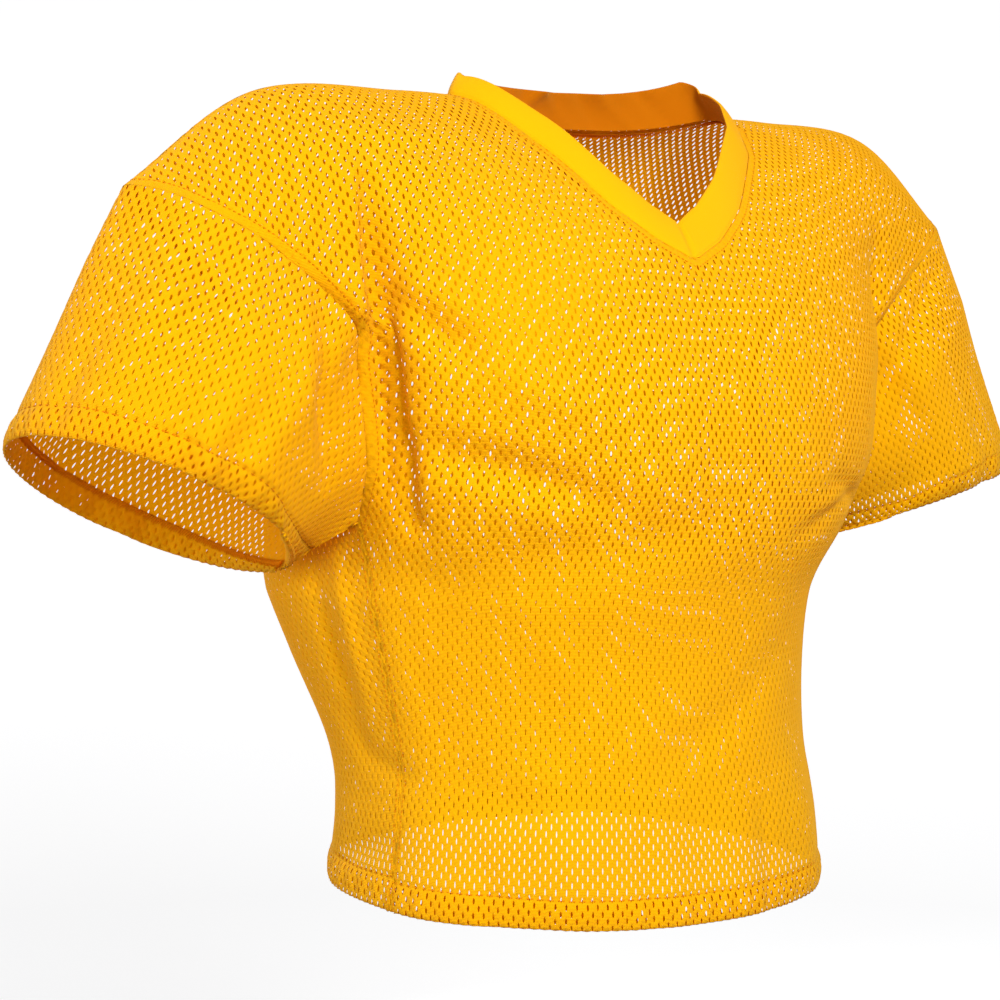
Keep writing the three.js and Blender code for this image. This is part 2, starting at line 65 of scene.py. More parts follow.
# The body's net for the wearer's left half, as in the CAD part. A row runs from the middle of the panel
# to its side seam or armhole edge, and the rows go from the front hem over the shoulders to the back hem.
BODY_NET = (
    ((0, -139, -528), (62, -130, -527), (118, -102, -525), (158, -62, -525), (177, -16, -524)),
    ((0, -137, -479), (61, -128, -478), (115, -101, -477), (153, -61, -474), (172, -17, -470)),
    ((0, -132, -428), (58, -124, -428), (110, -96, -426), (148, -58, -424), (169, -18, -420)),
    ((0, -130, -368), (60, -122, -367), (113, -95, -365), (153, -57, -362), (177, -19, -357)),
    ((0, -136, -320), (65, -128, -320), (121, -99, -317), (162, -60, -312), (187, -20, -305)),
    ((0, -147, -280), (70, -139, -280), (132, -111, -278), (178, -70, -274), (199, -20, -268)),
    ((0, -150, -240), (73, -145, -239), (140, -120, -236), (188, -83, -230), (210, -43, -224)),
    ((0, -146, -195), (74, -142, -194), (144, -120, -190), (196, -82, -180), (218, -46, -168)),
    ((0, -132, -150), (74, -130, -150), (146, -112, -150), (204, -78, -146), (228, -54, -136)),
    ((0, -110, -102), (74, -110, -104), (148, -98, -106), (214, -66, -104), (278, -46, -92)),
    ((0, -83, -64), (74, -84, -62), (148, -78, -61), (216, -60, -60), (312, -33, -71)),
    ((0, -42, -24), (74, -45, -20), (150, -45, -16), (238, -38, -18), (332, -15, -59)),
    ((0, 8, 14), (76, 6, 15), (160, 6, 16), (262, 8, 8), (347, 8, -54)),
    ((0, 70, 0), (78, 66, -3), (158, 60, -9), (250, 48, -22), (334, 30, -59)),
    ((0, 122, -38), (78, 116, -40), (156, 104, -45), (234, 78, -56), (315, 48, -71)),
    ((0, 162, -80), (78, 154, -82), (152, 134, -85), (218, 98, -90), (282, 60, -92)),
    ((0, 190, -134), (78, 180, -134), (150, 152, -134), (206, 112, -136), (233, 73, -140)),
    ((0, 204, -172), (78, 193, -172), (150, 160, -172), (202, 114, -174), (221, 72, -184)),
    ((0, 214, -222), (78, 202, -222), (152, 167, -220), (197, 112, -224), (210, 46, -240)),
    ((0, 218, -270), (77, 205, -270), (150, 168, -270), (199, 96, -269), (199, -20, -268)),
    ((0, 213, -309), (76, 200, -309), (148, 164, -309), (200, 92, -307), (187, -20, -305)),
    ((0, 201, -361), (72, 188, -361), (140, 152, -361), (187, 80, -360), (177, -19, -357)),
    ((0, 176, -423), (66, 163, -423), (127, 128, -423), (171, 66, -422), (169, -18, -420)),
    ((0, 170, -468), (66, 157, -468), (126, 123, -469), (170, 62, -470), (172, -17, -470)),
    ((0, 175, -514), (68, 162, -514), (130, 128, -515), (175, 64, -521), (177, -16, -524)),
)
LAST_ROW = len(BODY_NET) - 1
EDGE_COLUMN = len(BODY_NET[0]) - 1
UNDERARM_ROW = 5
SHOULDER_ROW = 12
NECK_TIP_ROW = 9.05
NECK_BACK_ROW = 12.7
NECK_HALF_WIDTH = 116.0
NECK_ROWS = (NECK_TIP_ROW, 9.4, 10, 11, 11.5, SHOULDER_ROW)
SWAY_HEIGHTS = (-540, -450, -390, -320, -270, -230)
SWAY_SHIFTS = (0, -1, -5, -9, -4, 0)
# Over so many rows above the underarm, the sections of front and back still run into each other
JOINED_ROWS = 0.5
# A fold has a part of its height at its ends, and swells to the whole of it between them
FOLD_SWELL_START = 0.12
FOLD_SWELL_SPAN = 0.8

# Grid steps of the worn form
ROW_STEP = 0.05
HALF_COLUMNS = 110
SECTION_STEPS = 120
SLEEVE_ROWS = 90
COARSE_ROWS = 10
COARSE_COLUMNS = 10
EASING_STEPS = 900

# Points count as one where they round to the same place, in parts of a millimetre
PLACES_PER_MM = 50
PLACE_KEY = (1, 100003, 10000600009)
TINY = 1e-9

# How deep the hems and cuffs are turned up
TURN_UP_DEPTH = 20.0

# Steps along a seam before it is moved sideways, and along a strip or line of stitches
SEAM_STEP = 2.0
PATH_STEP = 3.0

# The weave joins points that are closer than this, and drops smaller faces, in metres
WELD_DISTANCE = 0.02 * MM
SMALLEST_FACE = 0.02 * MM * MM


class Side(Enum):
    """The wearer's side, by the sign of its x."""

    RIGHT = -1
    LEFT = 1


class Cut(Enum):
    """Which of the two body panels a piece is."""

    FRONT = "front"
    BACK = "back"


def smoothstep(at: np.ndarray, low: float, high: float) -> np.ndarray:
    """Eased 0 to 1 between low and high."""
    share = np.clip((at - low) / (high - low), 0, 1)
    return share * share * (3 - 2 * share)


def unit(vectors: np.ndarray) -> np.ndarray:
    """The vectors at length 1."""
    return vectors / np.maximum(np.linalg.norm(vectors, axis=-1, keepdims=True), TINY)


def running_lengths(line: np.ndarray) -> np.ndarray:
    """The length of a polyline (points along the first axis) up to each of its points."""
    steps = np.linalg.norm(np.diff(line, axis=0), axis=-1)
    return np.concatenate([np.zeros_like(steps[:1]), np.cumsum(steps, axis=0)])


def interpolate(at: np.ndarray, known: np.ndarray, values: np.ndarray) -> np.ndarray:
    """Rows of values that are given at known places, read at other places."""
    return np.stack([np.interp(at, known, column) for column in values.T], -1)


def cubic(values: np.ndarray, at: np.ndarray, before: np.ndarray | None = None,
          after: np.ndarray | None = None) -> np.ndarray:
    """Cubic through evenly numbered values, as in the CAD part.

    Args:
        values: the values, numbered along the first axis.
        at: the places to read, counted in values.
        before: the value before the first one, if it isn't the straight way on.
        after: the value after the last one, likewise.

    Returns:
        The values at those places, with the axes of `at` first.
    """
    before = 2 * values[0] - values[1] if before is None else before
    after = 2 * values[-1] - values[-2] if after is None else after
    padded = np.concatenate([before[None], values, after[None]])
    at = np.clip(at, 0, len(values) - 1)
    index = np.minimum(np.floor(at).astype(int), len(values) - 2)
    f = (at - index).reshape(at.shape + (1,) * (values.ndim - 1))
    a, b, c, d = (padded[index + k] for k in range(4))
    return 0.5 * (2 * b + (c - a) * f + (2 * a - 5 * b + 4 * c - d) * f**2
                  + (3 * b - a - 3 * c + d) * f**3)


def cubic_grid(values: np.ndarray, rows: np.ndarray, columns: np.ndarray) -> np.ndarray:
    """A coarse grid of values read at every given row and column."""
    by_row = cubic(values, rows)
    return cubic(by_row.swapaxes(0, 1), columns).swapaxes(0, 1)


def flatten(worn: np.ndarray, flat: np.ndarray, middle: bool) -> np.ndarray:
    """Lays a coarse grid of cloth flat, by easing the lengths between neighbours.

    Args:
        worn: the worn points, rows from the hem up, then columns.
        flat: a first guess of the flat places. Its first row is the hem, on v = 0.
        middle: whether the first column is the middle of the panel, on u = 0.

    Returns:
        The flat places.
    """
    flat = flat.copy()
    every, head, tail = slice(None), slice(None, -1), slice(1, None)
    links = [((head, every), (tail, every)), ((every, head), (every, tail)),
             ((head, head), (tail, tail)), ((head, tail), (tail, head))]
    lengths = [np.linalg.norm(worn[a] - worn[b], axis=-1) for a, b in links]
    for _ in range(EASING_STEPS):
        move = np.zeros_like(flat)
        count = np.zeros(flat.shape[:2] + (1,))
        for (a, b), length in zip(links, lengths):
            apart = flat[b] - flat[a]
            now = np.maximum(np.linalg.norm(apart, axis=-1), TINY)
            push = 0.5 * ((now - length) / now)[..., None] * apart
            move[a] += push
            move[b] -= push
            count[a] += 1
            count[b] += 1
        flat += move / count
        flat[0, :, 1] = 0
        if middle:
            flat[:, 0, 0] = 0
    return flat


@dataclass
class Grid:
    """A piece of cloth as a grid of points, worn and laid flat, in millimetres.

    Rows go from the hem or cuff up. `out` is the direction that the face looks to.
    """

    worn: np.ndarray
    flat: np.ndarray
    out: np.ndarray = field(init=False)

    def __post_init__(self) -> None:
        """Works out the outward directions."""
        self.face_out()

    @property
    def turned(self) -> bool:
        """Whether u falls from column to column."""
        return float(np.mean(np.diff(self.flat[..., 0], axis=1))) < 0

    def face_out(self) -> None:
        """Outward directions from the neighbours on the grid."""
        across = np.gradient(self.worn, axis=1)
        up = np.gradient(self.worn, axis=0)
        out = unit(np.cross(across, up))
        self.out = -out if self.turned else out

    def column_at(self, column: int, heights: np.ndarray) -> tuple[np.ndarray, np.ndarray, np.ndarray]:
        """Reads one column at heights above the hem.

        Args:
            column: the column's number.
            heights: the heights on the flat pattern.

        Returns:
            The worn points, their outward directions and u.
        """
        v = self.flat[:, column, 1]
        worn = interpolate(heights, v, self.worn[:, column])
        out = interpolate(heights, v, self.out[:, column])
        return worn, unit(out), np.interp(heights, v, self.flat[:, column, 0])


@dataclass(frozen=True)
class TurnUp:
    """A hem or cuff turned up inside once, and sewn down by one line of stitches.

    The two layers lie `gap` apart. The stitches pull in a dent, and between them and the fold the
    cloth bulges and waves. The rows of its grid are given by their distance from the fold.
    """

    depth: float = TURN_UP_DEPTH
    gap: float = 1.5
    dent: float = 1.0
    dent_width: float = 1.7
    bulge: float = 1.3
    wave: float = 0.6
    wave_pitch: float = 17.0
    wave_drift: float = 1.3
    wave_drift_length: float = 41.0
    fold_rows: int = 9
    band_rows: tuple[float, ...] = (2, 3, 5, 8, 11, 14, 16.5)
    seam_rows: tuple[float, ...] = (18, 18.7, 19.3, 20, 20.7, 21.3, 22, 24)
    raw_row: float = 19
    room: float = 0.5
    reading_step: float = 1.0

    def levels(self) -> np.ndarray:
        """The values of v of the turn-up's rows.

        Returns:
            The values, from its raw edge over the fold to above the seam.
        """
        fold = math.pi * self.gap / 4
        ease = np.linspace(-fold, fold, self.fold_rows)
        inside = -np.array([self.depth, self.raw_row, *self.band_rows[::-1]])
        return np.concatenate([inside, ease, self.band_rows, self.seam_rows])

    def relief(self, u: np.ndarray, v: np.ndarray) -> np.ndarray:
        """How far the dent, the bulge and the waves lift the cloth.

        Args:
            u: the places along the hem.
            v: the places above the fold, or below it for the inner layer.

        Returns:
            The lifts along the outward direction.
        """
        drift = self.wave_drift * np.sin(u / self.wave_drift_length)
        ripple = self.wave * np.sin(2 * math.pi * u / self.wave_pitch + drift)
        near = np.exp(-(((v - self.depth) / self.dent_width) ** 2))
        puff = np.sin(math.pi * np.clip(np.abs(v) / self.depth, 0, 1)) * np.sign(v)
        return (self.bulge + ripple) * puff - self.dent * near

    def fold(self, grid: Grid) -> Grid:
        """The grid with its lower end folded inside.

        Args:
            grid: the cloth, whose first row lies on v = 0 at the fold.

        Returns:
            A new grid that starts at the raw edge inside, on v = -depth.
        """
        v = self.levels()
        reach = math.pi * self.gap / 4
        angle = np.clip(v / reach, -1, 1) * math.pi / 2
        curved = self.gap / 2 * (1 - np.cos(angle))
        height = np.where(np.abs(v) > reach, np.abs(v) - reach + self.gap / 2, curved)
        inward = self.gap / 2 * (1 - np.sin(angle))
        first = int(np.argmax(grid.flat[..., 1].min(axis=1) > self.seam_rows[-1] + self.room))
        worn, flat, out = [], [], []
        for column in range(grid.flat.shape[1]):
            points, facing, u = grid.column_at(column, height)
            lower = grid.column_at(column, np.maximum(height - self.reading_step, 0))[0]
            higher = grid.column_at(column, height + self.reading_step)[0]
            up = unit(higher - lower)
            worn.append(points + facing * (self.relief(u, v) - inward)[:, None])
            flat.append(np.stack([u, v], -1))
            out.append(unit(facing * np.sin(angle)[:, None] - up * np.cos(angle)[:, None]))
        folded = Grid(np.concatenate([np.stack(worn, 1), grid.worn[first:]]),
                      np.concatenate([np.stack(flat, 1), grid.flat[first:]]))
        folded.out = np.concatenate([np.stack(out, 1), grid.out[first:]])
        return folded


@dataclass(frozen=True)
class Fold:
    """A fold as a soft trough (negative height) or ridge along a line, in millimetres."""

    path: tuple[tuple[float, float, float], ...]
    width: float
    height: float
    end_share: float = 0.35

    def heights(self, points: np.ndarray) -> np.ndarray:
        """How far the fold moves each point.

        Args:
            points: the points of the cloth.

        Returns:
            The moves along the outward directions.
        """
        path = np.array(self.path, float)
        lengths = running_lengths(path)
        nearest = np.full(points.shape[:-1], np.inf)
        along = np.zeros(points.shape[:-1])
        for i in range(len(path) - 1):
            step = path[i + 1] - path[i]
            t = np.clip((points - path[i]) @ step / (step @ step), 0, 1)
            away = np.linalg.norm(points - path[i] - t[..., None] * step, axis=-1)
            closer = away < nearest
            along = np.where(closer, lengths[i] + t * (lengths[i + 1] - lengths[i]), along)
            nearest = np.where(closer, away, nearest)
        swell = np.sin(math.pi * (FOLD_SWELL_START + FOLD_SWELL_SPAN * along / lengths[-1]))
        share = self.end_share + (1 - self.end_share) * swell
        return self.height * share * np.exp(-((nearest / self.width) ** 2))


# The folds of the CAD part
CAD_FOLDS = (
    Fold(((-222, -74, -70), (-196, -66, -266)), 13, -17),
    Fold(((222, -74, -70), (196, -66, -262)), 13, -15),
    Fold(((-214, 100, -90), (-200, 92, -262)), 16, -12),
    Fold(((214, 100, -84), (202, 92, -266)), 15, -13),
    Fold(((-150, -108, -292), (-20, -146, -272)), 22, -6),
    Fold(((-112, -104, -440), (-96, -116, -532)), 24, 6),
    Fold(((84, -120, -450), (104, -112, -532)), 26, 5),
    Fold(((-20, -136, -430), (-8, -140, -532)), 28, -5),
    Fold(((-118, 128, -430), (-126, 130, -528)), 24, 6),
    Fold(((96, 142, -440), (110, 140, -528)), 26, 6),
)

# Smaller creases, first those of the photographed side
CREASES = (
    Fold(((-226, -53, -52), (-228, -56, -84), (-225, -59, -132), (-214, -56, -190), (-205, -50, -240)),
         5, 4.5),
    Fold(((-218, -56, -59), (-216, -57, -100), (-210, -57, -140), (-205, -55, -190), (-200, -49, -240)),
         6, -4.0),
    Fold(((-211, -57, -146), (-207, -56, -180), (-204, -53, -212), (-202, -49, -250)), 8, -8.0, 0.2),
    Fold(((-199, -69, -146), (-192, -70, -192), (-188, -74, -235), (-183, -70, -262)), 10, 6.0),
    Fold(((-196, -80, -142), (-186, -90, -152), (-172, -98, -164)), 11, -7.0, 0.5),
    Fold(((-198, -72, -122), (-184, -84, -130), (-168, -94, -140)), 10, 3.5, 0.5),
    Fold(((-188, -81, -222), (-172, -100, -230), (-147, -117, -238), (-118, -130, -248),
          (-90, -138, -258)), 14, -8.5, 0.3),
    Fold(((-156, -112, -176), (-124, -132, -192), (-96, -137, -206)), 15, 5.0, 0.2),
    Fold(((-311, -47, -113), (-328, -56, -148), (-334, -62, -192)), 13, -7.0, 0.3),
    Fold(((-332, -34, -106), (-345, -41, -136), (-348, -54, -184)), 12, 4.0, 0.2),
    Fold(((-248, -54, -133), (-251, -64, -187), (-240, -48, -241)), 9, -5.0, 0.15),
    Fold(((-262, -58, -140), (-268, -66, -190), (-258, -52, -236)), 9, 3.0, 0.1),
    Fold(((303, -43, -84), (268, -57, -118), (244, -61, -152), (232, -51, -179)), 8, -5.0, 0.15),
    Fold(((101, -135, -244), (132, -119, -251), (170, -92, -262)), 8, -4.0, 0.1),
    Fold(((66, -139, -280), (117, -125, -262), (172, -88, -246)), 8, -3.5, 0.1),
    Fold(((80, -140, -262), (124, -124, -254), (164, -96, -250)), 7, 2.5, 0.1),
    Fold(((-222, -50, -40), (-193, -54, -37), (-142, -57, -34)), 7, -2.5, 0.1),
    Fold(((-201, 34, -300), (-194, 28, -350), (-184, 20, -410)), 9, -4.5, 0.1),
    Fold(((-203, 8, -296), (-196, 6, -340), (-186, 4, -392)), 8, 3.5, 0.1),
    Fold(((-190, -42, -318), (-180, -46, -362), (-166, -56, -410)), 9, -3.0, 0.1),
    Fold(((-182, 40, -392), (-180, 14, -424), (-168, -40, -440)), 10, -2.5, 0.1),
    Fold(((-174, 61, -502), (-177, 22, -488), (-174, -11, -476)), 8, -3.0, 0.1),
    Fold(((-166, -60, -430), (-132, -92, -446), (-100, -106, -452)), 12, -2.5, 0.1),
    Fold(((-60, -128, -470), (-54, -132, -500), (-50, -134, -530)), 9, -2.5),
    Fold(((40, -134, -462), (46, -134, -500), (48, -134, -530)), 10, -2.5),
    Fold(((-150, -76, -476), (-146, -80, -500), (-142, -84, -528)), 9, -3.0),
    Fold(((70, -122, -360), (20, -134, -392), (-50, -130, -430)), 16, -2.5, 0.1),
    Fold(((-120, -100, -330), (-96, -112, -380), (-84, -112, -430)), 15, 2.5, 0.1),
    Fold(((-346, -64, -234), (-345, -64, -202), (-346, -58, -172)), 8, -4.5, 0.5),
    Fold(((-330, -68, -240), (-332, -70, -206), (-336, -64, -172)), 9, 4.0, 0.5),
    Fold(((-314, -69, -244), (-317, -74, -211), (-320, -72, -190)), 8, -3.5, 0.5),
    Fold(((-396, -12, -202), (-391, -9, -173)), 9, -3.5, 0.6),
    Fold(((-306, 113, -282), (-303, 110, -244)), 11, -4.5, 0.6),
    Fold(((-349, 108, -242), (-345, 104, -204)), 10, 4.0, 0.6),
    # The wearer's left side and the back
    Fold(((338, -58, -246), (336, -60, -205)), 9, -4.5, 0.6),
    Fold(((374, -40, -220), (368, -40, -185)), 10, 4.0, 0.6),
    Fold(((330, 112, -258), (326, 108, -215)), 11, -4.5, 0.6),
    Fold(((196, 92, -262), (150, 158, -250), (92, 192, -236)), 10, -7.5, 0.1),
    Fold(((-196, 92, -262), (-146, 160, -250), (-84, 196, -240)), 10, -7.5, 0.1),
    Fold(((190, 100, -286), (140, 164, -292), (84, 194, -300)), 9, -5.2, 0.1),
    Fold(((-192, 98, -290), (-140, 160, -300), (-90, 190, -312)), 9, -5.2, 0.1),
    Fold(((200, 60, -330), (196, 20, -318), (182, -34, -298)), 8, -6.0, 0.1),
    Fold(((186, 60, -392), (180, 14, -380), (160, -46, -360)), 9, -6.0, 0.1),
    Fold(((176, 66, -490), (178, 20, -480), (170, -24, -470)), 8, -5.2, 0.1),
    Fold(((-40, 186, -380), (-30, 172, -440), (-34, 174, -516)), 16, -4.5),
    Fold(((52, 186, -372), (44, 172, -440), (40, 174, -516)), 16, -4.5),
    Fold(((0, 170, -90), (-6, 204, -170), (0, 214, -240)), 18, -3.8, 0.1),
    Fold(((240, 76, -120), (256, 70, -170), (250, 56, -230)), 9, -7.5, 0.15),
    Fold(((-240, 76, -122), (-254, 72, -176), (-246, 58, -232)), 9, -7.5, 0.15),
    Fold(((300, 60, -110), (296, 74, -160), (300, 84, -220)), 11, 4.5, 0.1),
    Fold(((-300, 62, -112), (-294, 76, -164), (-300, 86, -224)), 11, 4.5, 0.1),
)


@dataclass(frozen=True)
class Cuff:
    """The ellipse that a sleeve's cuff lies on."""

    side: Side
    centre: tuple[float, float, float]
    half_depth: float
    half_reach: float
    outer_rise: float
    front_rise: float

    def points(self, degrees: np.ndarray) -> np.ndarray:
        """Points of the cuff.

        Args:
            degrees: the angles round the sleeve: 0 the top, 90 the front, 180 the underarm.

        Returns:
            The points.
        """
        outer, front = math.radians(self.outer_rise), math.radians(self.front_rise)
        reach = self.half_reach * np.cos(np.radians(degrees))
        depth = self.half_depth * np.sin(np.radians(degrees))
        x, y, z = self.centre
        return np.stack([self.side.value * (x + reach * math.cos(outer)), y - depth * math.cos(front),
                         z + reach * math.sin(outer) + depth * math.sin(front)], -1)


@dataclass
class WornForm:
    """The worn form of the jersey: the grids of its cut pieces, with their folds.

    The shoulders lean and the hem drops by a slope that comes in between two heights. The neck's
    half widths belong to NECK_ROWS. A sleeve stands out by its fullness between armhole and cuff,
    given at even angles round it, and more so, by the spread, away from the body at the underarm.
    """

    lean: float = 0.031
    lean_from: float = -330.0
    lean_full: float = -90.0
    hem_drop: float = 0.015
    hem_drop_from: float = 420.0
    hem_drop_full: float = 525.0
    neck_front: dict[Side, tuple[float, ...]] = field(default_factory=lambda: {
        Side.RIGHT: (0, 25, 52, 82, 100, NECK_HALF_WIDTH),
        Side.LEFT: (0, 28, 60, 104, 116, NECK_HALF_WIDTH)})
    cuffs: tuple[Cuff, ...] = (
        Cuff(Side.RIGHT, (323, 27, -258), 92, 97, 25.6, 8),
        Cuff(Side.LEFT, (324, 26, -268), 88, 96, 15, 9))
    fullness: tuple[float, ...] = (2, 10, 18, 26, 9, 12, 16, 8, 2)
    spread: float = 2.2
    panels: dict[Cut, dict[Side, Grid]] = field(default_factory=dict)
    sleeves: dict[Side, Grid] = field(default_factory=dict)

    def column(self, index: int, rows: np.ndarray) -> np.ndarray:
        """Reads one column of the net.

        Args:
            index: the column. The last one is the side seam and the armhole.
            rows: the rows of the net.

        Returns:
            The points at those rows.
        """
        values = np.array(BODY_NET, float)[:, index]
        if index < EDGE_COLUMN:
            return cubic(values, rows)
        level = np.minimum(rows, LAST_ROW - rows)
        seam = cubic(values[:UNDERARM_ROW + 1], level)
        armhole = cubic(values[UNDERARM_ROW:LAST_ROW - UNDERARM_ROW + 1], rows - UNDERARM_ROW)
        return np.where((level < UNDERARM_ROW)[:, None], seam, armhole)

    def sections(self, rows: np.ndarray) -> tuple[np.ndarray, np.ndarray]:
        """Half sections of the body.

        Args:
            rows: the rows of the net.

        Returns:
            For each row a dense line from the middle to the edge, and its running lengths.
        """
        points = np.stack([self.column(k, rows) for k in range(EDGE_COLUMN + 1)])
        level = np.minimum(rows, LAST_ROW - rows)
        joined = np.clip(UNDERARM_ROW + JOINED_ROWS - level, 0, 1)[:, None]
        free = 2 * points[EDGE_COLUMN] - points[EDGE_COLUMN - 1]
        after = free * (1 - joined) + self.column(EDGE_COLUMN - 1, LAST_ROW - rows) * joined
        before = points[1] * np.array([-1, 1, 1])
        line = cubic(points, np.linspace(0, EDGE_COLUMN, SECTION_STEPS + 1), before, after)
        return line.swapaxes(0, 1), running_lengths(line).T

    def lean_and_sway(self, points: np.ndarray) -> np.ndarray:
        """Slopes the shoulders and the hem, and sways the waist.

        Args:
            points: the points of the straight form.

        Returns:
            The moved points.
        """
        z = points[..., 2]
        slope = self.lean * smoothstep(z, self.lean_from, self.lean_full)
        slope = slope - self.hem_drop * smoothstep(-z, self.hem_drop_from, self.hem_drop_full)
        sway = np.interp(z, SWAY_HEIGHTS, SWAY_SHIFTS)
        return np.stack([points[..., 0] + sway, points[..., 1], z + points[..., 0] * slope], -1)

    def neck_half_width(self, rows: np.ndarray, side: Side) -> np.ndarray:
        """Where the neck edge cuts the rows.

        Args:
            rows: the rows of the net.
            side: the wearer's side.

        Returns:
            The distances from the middle, 0 where the neck doesn't reach.
        """
        front = np.interp(rows, NECK_ROWS, self.neck_front[side])
        f = np.clip((rows - SHOULDER_ROW) / (NECK_BACK_ROW - SHOULDER_ROW), 0, 1)
        back = NECK_HALF_WIDTH * np.sqrt(1 - f * f)
        return np.where(rows > NECK_BACK_ROW, 0, np.where(rows > SHOULDER_ROW, back, front))

    def build_panel(self, cut: Cut) -> None:
        """Makes the two half grids of a body panel.

        Args:
            cut: whether it is the front or the back.
        """
        steps = np.arange(round(SHOULDER_ROW / ROW_STEP) + 1) * ROW_STEP
        rows = steps if cut is Cut.FRONT else LAST_ROW - steps
        lines, lengths = self.sections(rows)
        shares = np.linspace(0, 1, HALF_COLUMNS + 1)
        coarse = self.resample(lines, lengths, np.tile(shares[::COARSE_COLUMNS], (len(rows), 1)))
        coarse = coarse[::COARSE_ROWS]
        across = running_lengths(coarse.swapaxes(0, 1)).T
        up = running_lengths(coarse)
        guess = np.stack([across, np.repeat(up[:, :1], up.shape[1], 1)], -1)
        pattern = flatten(coarse, guess, middle=True)
        self.panels[cut] = {}
        for side in Side:
            widths = self.neck_half_width(rows, side)
            start = np.array([np.interp(w, line[:, 0], length) / length[-1] if w > 0 else 0.0
                              for w, line, length in zip(widths, lines, lengths)])
            at = start[:, None] + (1 - start[:, None]) * shares
            worn = self.resample(lines, lengths, at) * np.array([side.value, 1, 1])
            by_row = cubic(pattern, np.arange(len(rows)) / COARSE_ROWS)
            flat = np.stack([cubic(line, place * (len(line) - 1)) for line, place in zip(by_row, at)])
            flip = side.value if cut is Cut.FRONT else -side.value
            self.panels[cut][side] = Grid(self.lean_and_sway(worn), flat * np.array([flip, 1]))

    @staticmethod
    def resample(lines: np.ndarray, lengths: np.ndarray, shares: np.ndarray) -> np.ndarray:
        """Points of each line at shares of its length."""
        return np.stack([interpolate(share * length[-1], length, line)
                         for line, length, share in zip(lines, lengths, shares)])

    def armhole(self, side: Side) -> tuple[np.ndarray, np.ndarray]:
        """The armhole, from the shoulder tip over the front and the underarm up the back.

        Args:
            side: the wearer's side.

        Returns:
            Its points, and their angles round the sleeve.
        """
        first = round(UNDERARM_ROW / ROW_STEP)
        front = self.panels[Cut.FRONT][side].worn[first:, -1][::-1]
        back = self.panels[Cut.BACK][side].worn[first + 1:, -1]
        points = np.concatenate([front, back])
        lengths = running_lengths(points)
        half = lengths[len(front) - 1]
        before = 180 * lengths / half
        after = 180 + 180 * (lengths - half) / (lengths[-1] - half)
        return points, np.where(np.arange(len(points)) < len(front), before, after)

    def build_sleeve(self, cuff: Cuff) -> None:
        """Makes a sleeve's grid, cut open under the arm.

        Args:
            cuff: the sleeve's cuff.
        """
        points, angles = self.armhole(cuff.side)
        ends = cuff.points(angles)
        top, bottom = points[1:].mean(axis=0), ends[1:].mean(axis=0)
        axis = unit(bottom - top)
        full = np.interp(angles, np.linspace(0, 360, len(self.fullness)), self.fullness)
        w = np.linspace(1, 0, SLEEVE_ROWS + 1)[:, None, None]
        straight = points + (ends - points) * w
        out = straight - (top + (bottom - top) * w)
        out = unit(out - (out @ axis)[..., None] * axis)
        spread = cuff.side.value * self.spread * (1 - np.cos(np.radians(angles))) / 2
        out = out + spread[:, None] * np.array([1, 0, 0])
        worn = straight + out * (4 * w * (1 - w)) * full[:, None]
        under = len(points) // 2
        order = np.concatenate([np.arange(under, -1, -1), np.arange(len(points) - 2, under - 1, -1)])
        if cuff.side is Side.RIGHT:
            order = order[::-1]
        worn = worn[:, order]
        coarse = worn[::COARSE_ROWS, ::COARSE_COLUMNS]
        around = running_lengths(coarse[0])
        up = running_lengths(coarse)
        guess = np.stack([np.repeat(around[None], len(coarse), 0), up], -1)
        pattern = flatten(coarse, guess, middle=False)
        pattern[..., 0] -= pattern[0, len(around) // 2, 0]
        flat = cubic_grid(pattern, np.arange(worn.shape[0]) / COARSE_ROWS,
                          np.arange(worn.shape[1]) / COARSE_COLUMNS)
        self.sleeves[cuff.side] = Grid(worn, flat)

    def groups(self) -> list[list[Grid]]:
        """The body's grids, and the sleeves' grids."""
        body = [grid for halves in self.panels.values() for grid in halves.values()]
        return [body, list(self.sleeves.values())]

    def share_directions(self) -> None:
        """Gives the grids one outward direction wherever they meet, at a seam the bisector."""
        groups = self.groups()
        for grid in (grid for group in groups for grid in group):
            grid.face_out()
        for gathered in [*groups, groups[0] + groups[1]]:
            places = np.concatenate([grid.worn.reshape(-1, 3) for grid in gathered])
            facing = np.concatenate([grid.out.reshape(-1, 3) for grid in gathered])
            keys = np.round(places * PLACES_PER_MM).astype(np.int64) @ np.array(PLACE_KEY)
            _, index = np.unique(keys, return_inverse=True)
            total = np.zeros((index.max() + 1, 3))
            np.add.at(total, index, facing)
            shared = unit(total)[index]
            start = 0
            for grid in gathered:
                count = grid.worn.shape[0] * grid.worn.shape[1]
                grid.out = shared[start:start + count].reshape(grid.worn.shape)
                start += count

    def press(self, folds: tuple[Fold, ...]) -> None:
        """Moves every grid by folds, along the shared outward directions.

        Args:
            folds: the folds.
        """
        self.share_directions()
        for grid in (grid for group in self.groups() for grid in group):
            height = sum(fold.heights(grid.worn) for fold in folds)
            grid.worn = grid.worn + grid.out * height[..., None]

    def build(self) -> None:
        """Makes all the grids and their folds."""
        for cut in Cut:
            self.build_panel(cut)
        for cuff in self.cuffs:
            self.build_sleeve(cuff)
        self.press(CAD_FOLDS)
        self.press(CREASES)
        self.share_directions()


